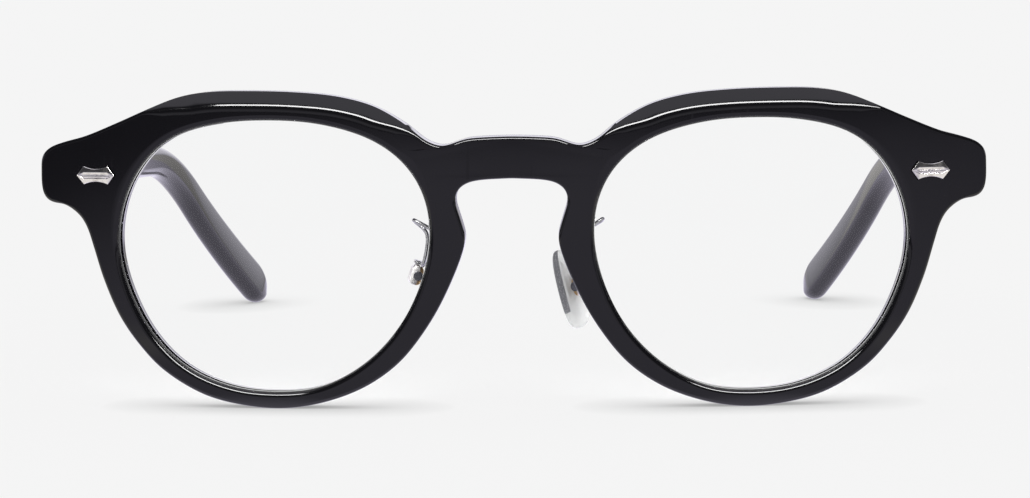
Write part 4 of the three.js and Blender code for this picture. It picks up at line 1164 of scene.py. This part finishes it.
def makeArm(size, side):
    sign = sides[side]
    place = padMatrix(side)
    pin = place.translation / mm
    middle = boxSpan(size)[1]
    foot = Vector(onSheet(armFootSizes["side"], armFootSizes["height"], -halfThick))
    foot.x *= sign
    radius = size["armRadius"]
    noseGap = frontSizes["lensSide"] - frontSizes["openingWide"]
    bowSide = sign * (noseGap + size["bowOut"]) - size["bowSway"]
    bow = Vector((bowSide, foot.y + size["bowBack"], foot.z + size["bowRise"]))
    legEnd = Vector((pin.x - sign * size["legInset"], foot.y + size["legBack"], pin.z + size["legRise"]))
    endTall = size["boxTall"] / 2 + size["endGap"] + size["endThick"] / 2
    knots = [
        foot - Vector((0, size["armSunk"], 0)),
        foot + Vector((0, size["armRise"], 0)),
        bow,
        bow + Vector((0, size["bowDeep"], -radius)),
        legEnd + Vector((-sign * size["legSlant"], 0, size["legLong"])),
        legEnd,
        (place @ (Vector((middle, 0, endTall)) * mm)) / mm,
    ]
    line = throughPoints([tuple(knot) for knot in knots], 18)
    # one steady up direction, carried along the wire so that its section never flips
    stations = []
    up = Vector((0, 0, 1))
    for i, point in enumerate(line):
        ahead = Vector(line[min(i + 1, len(line) - 1)] - line[max(i - 1, 0)]).normalized()
        up = (up - ahead * up.dot(ahead)).normalized()
        stations.append((point, up.copy(), radius, radius))
    metal = finishes["wireSteel"]
    wire = sweep("armWire", stations, metal, radius, 20, 60)
    base = roundRod("armFoot", (0, -armFootSizes["sunk"], 0),
                    (0, armFootSizes["thick"] - armFootSizes["sunk"], 0),
                    armFootSizes["radius"], armFootSizes["edge"], metal, 36)
    placed(base, Matrix.Translation(foot * mm) @ sheetTurn(sign * armFootSizes["side"]))
    end = softBlock("armEnd", (size["endLong"], size["boxWide"], size["endThick"]), (middle, 0, endTall),
                    size["endEdge"], 4)
    placed(end, place)
    return joinPieces(f"padArm{side.capitalize()}", [wire, base, end], 40)


padPieces = (
    ("nosePad", makePad, "clearSilicone", "pad_{}", "nose_pad", "nose_pad_{}"),
    ("padCore", makeStrip, "stripSteel", "pad_{}", "pad_core", "pad_core_plate_{}"),
    ("padBox", makeBox, "boxBrass", "front", "pad_box", "pad_box_{}"),
)
for side in sides:
    for name, maker, finish, body, slotName, node in padPieces:
        piece = placed(maker(padSizes), padMatrix(side))
        piece.name = name + side.capitalize()
        dress(piece, finish, body.format(side), slotName, node.format(side))
    dress(makeArm(padSizes, side), "wireSteel", "front", "pad_arm", f"pad_arm_{side}")
    for node, finish in ((f"pad_screw_{side}", "padScrewSteel"), (f"temple_core_wire_{side}", "stripSteel")):
        materials = frame["nodes"][node].data.materials
        materials.clear()
        materials.append(finishes[finish])
print("nose pads made")


# floor, light and camera

studio = {
    "floor": (0.86, 0.86, 0.865), "grains": 400.0, "grainShade": 0.995, "halfFloor": 12.0,
    # ownGlow and glow make the floor glow evenly by itself; shadowReach and shadowDark set its painted
    # shadow close to the glasses
    "ownGlow": 0.93, "glow": 0.913, "shadowReach": 0.011, "shadowDark": 0.62,
    "seen": 0.913, "skyDiffuse": 1.05,
    # how bright the gloss shows what lies in front, far off, beside and behind: painted reflections on the
    # table, and the sky as mirrored rays see it
    "front": 0.56, "dark": 0.05, "beside": 0.85, "behind": 1.3, "farBehind": 0.62, "farOther": 1.1,
    "ceiling": 1.0, "overFront": 0.04, "horizon": 0.84, "overBack": 1.5, "highBack": 0.12,
    "tableReflectionTint": (0.87, 0.83, 1.0), "besideReflectionTint": (1.0, 0.97, 0.95), "glossTint": (0.92, 0.9, 1.0),
    # from where to where on the table a tone takes over, in metres
    "tableEnd": (-0.59, -0.535), "oneSide": (-0.27, -0.13), "otherSide": (0.12, 0.3), "otherShare": 0.6,
    "flankOut": (0.075, 0.09), "flankEnd": (-0.17, -0.14), "glasses": (-0.085, -0.075),
    "sideways": (0.12, 0.16), "sidewaysEnd": (0.12, 0.06), "farStart": (0.15, 0.24), "farTurn": (-0.1, 0.0),
    # and from what height or turn in the sky, as parts of a direction of length one
    "frontRise": (0.02, 0.2), "backRise": (0.0, 0.09), "highRise": (0.2, 0.35), "backTurn": (-0.15, 0.25),
    "roofRise": (0.84, 0.9), "roofEnd": (0.12, 0.0),
}


def glossOnly(tree):
    # mirrored rays, but not those that have come through a lens
    path = tree.nodes.new("ShaderNodeLightPath")
    straight = mathNode(tree, "SUBTRACT", 1.0, path.outputs["Is Transmission Ray"])
    return mathNode(tree, "MULTIPLY", path.outputs["Is Glossy Ray"], straight)


def glowNode(tree, strength, color=None):
    return addNode(tree, "ShaderNodeEmission", {"Strength": strength, "Color": color}).outputs[0]


def mixShaders(tree, factor, first, second):
    return addNode(tree, "ShaderNodeMixShader", {0: factor, 1: first, 2: second}).outputs[0]


def makeFloor(look):
    half = look["halfFloor"]
    corners = [(-half, -half, 0), (half, -half, 0), (half, half, 0), (-half, half, 0)]
    floor = meshPiece("studioFloor", corners, [(0, 1, 2, 3)])
    material, tree, shader, place = newMaterial("paleFloor", look["floor"], 0.0, 1.0)
    darker = tuple(c * look["grainShade"] for c in look["floor"])
    grain = noiseNode(tree, place, look["grains"])
    setInputs(tree, shader, {"Specular IOR Level": 0.0,
                             "Base Color": mixColors(tree, grain, look["floor"], darker)})
    # the floor glows evenly by itself, with a painted shadow: ambient occlusion darkens the glow so that
    # only the places close to the glasses fall into shadow
    paintedShadowNearness = addNode(tree, "ShaderNodeAmbientOcclusion", {"Distance": look["shadowReach"]}, samples=16)
    paintedShadowDarkest = look["glow"] * (1 - look["shadowDark"])
    glow = glowNode(tree, remap(tree, paintedShadowNearness.outputs["AO"], 0.0, 1.0, paintedShadowDarkest, look["glow"]))
    floorWithPaintedShadow = mixShaders(tree, look["ownGlow"], shader.outputs[0], glow)

    # painted reflection: tones that only mirrored rays see on the table, grey in front, dark far off and to
    # one side
    at = splitXyz(tree, place)
    x, y = at["X"], at["Y"]
    away = mathNode(tree, "ABSOLUTE", x)

    def both(first, second):
        return mathNode(tree, "MULTIPLY", first, second)

    across = both(remap(tree, x, *look["oneSide"]),
                  remap(tree, x, *look["otherSide"], 1.0, look["otherShare"]))
    table = both(remap(tree, y, *look["tableEnd"]), across)
    ahead = remap(tree, table, 0.0, 1.0, look["dark"], look["front"])
    flank = both(remap(tree, away, *look["flankOut"]), remap(tree, y, *look["flankEnd"]))
    ahead = blendValues(tree, flank, ahead, look["beside"])
    far = remap(tree, x, *look["farTurn"], look["farOther"], look["farBehind"])
    behind = blendValues(tree, remap(tree, y, *look["farStart"]), look["behind"], far)
    sideways = both(remap(tree, away, *look["sideways"]), remap(tree, y, *look["sidewaysEnd"]))
    behind = blendValues(tree, sideways, behind, look["dark"])
    paintedReflectionLevel = blendValues(tree, remap(tree, y, *look["glasses"]), ahead, behind)
    paintedReflectionTint = mixColors(tree, flank, look["tableReflectionTint"], look["besideReflectionTint"])
    mix = mixShaders(tree, glossOnly(tree), floorWithPaintedShadow, glowNode(tree, paintedReflectionLevel, paintedReflectionTint))
    setInputs(tree, tree.nodes["Material Output"], {"Surface": mix})
    floor.data.materials.append(material)


def makeSky(look):
    world = bpy.data.worlds.new("studioSky")
    bpy.context.scene.world = world
    world.use_nodes = True
    tree = world.node_tree
    way = splitXyz(tree, tree.nodes.new("ShaderNodeTexCoord").outputs["Generated"])
    back, up = way["Y"], way["Z"]
    over = blendValues(tree, remap(tree, up, *look["frontRise"]), look["front"], look["overFront"])
    rear = blendValues(tree, remap(tree, up, *look["backRise"]), look["horizon"], look["overBack"])
    rear = blendValues(tree, remap(tree, up, *look["highRise"]), rear, look["highBack"])
    low = blendValues(tree, remap(tree, back, *look["backTurn"]), over, rear)
    roof = mathNode(tree, "MULTIPLY", remap(tree, up, *look["roofRise"]),
                    remap(tree, back, *look["roofEnd"]))
    gloss = blendValues(tree, roof, low, look["ceiling"])
    diffuse = tree.nodes.new("ShaderNodeLightPath").outputs["Is Diffuse Ray"]
    plain = remap(tree, diffuse, 0.0, 1.0, look["seen"], look["skyDiffuse"])
    factor = glossOnly(tree)
    setInputs(tree, tree.nodes["Background"], {
        "Strength": blendValues(tree, factor, plain, gloss),
        "Color": mixColors(tree, factor, (1, 1, 1), look["glossTint"])})


topStrip = {"at": (0.09, -0.74, 0.78), "aim": (0.09, -0.07, 0.035), "size": (1.02, 0.22), "watts": 19.0}


def makeSoftBox(name, look):
    light = bpy.data.lights.new(name, "AREA")
    light.shape = "RECTANGLE"
    light.size, light.size_y = look["size"]
    light.energy = look["watts"]
    lamp = linked(name, light)
    lamp.location = look["at"]
    way = Vector(look["aim"]) - Vector(look["at"])
    lamp.rotation_euler = way.to_track_quat("-Z", "Y").to_euler()
    lamp.visible_diffuse = False
    lamp.visible_camera = False


view = {"distance": 750.0, "down": 6.0, "round": 1.6, "roll": -0.51, "focal": 4931.0, "sensor": 36.0,
        "imageWide": 1030, "imageTall": 498, "middle": (512.2, 248.3), "aimHeight": 24.4}


def makeCamera(look):
    camera = bpy.data.cameras.new("photoCamera")
    camera.sensor_fit = "HORIZONTAL"
    camera.sensor_width = look["sensor"]
    camera.lens = look["sensor"] * look["focal"] / look["imageWide"]
    holder = linked("photoCamera", camera)
    target = Vector((0, sheetY, look["aimHeight"])) * mm
    down, around = math.radians(look["down"]), math.radians(look["round"])
    away = Vector((math.sin(around) * math.cos(down), -math.cos(around) * math.cos(down), math.sin(down)))
    place = target + away * look["distance"] * mm
    pose = (-away).to_track_quat("-Z", "Y").to_matrix().to_4x4()
    # the bridge sits a few pixels left of the picture's middle
    sideways = (look["imageWide"] / 2 - look["middle"][0]) / look["focal"]
    upwards = (look["imageTall"] / 2 - look["middle"][1]) / look["focal"]
    nudge = Matrix.Rotation(-sideways, 4, "Y") @ Matrix.Rotation(-upwards, 4, "X")
    roll = Matrix.Rotation(math.radians(look["roll"]), 4, "Z")
    holder.matrix_world = Matrix.Translation(place) @ pose @ nudge @ roll
    bpy.context.scene.camera = holder


makeFloor(studio)
makeSky(studio)
makeSoftBox("topStrip", topStrip)
makeCamera(view)
bpy.context.scene.view_settings.view_transform = "Standard"
print("studio ready")
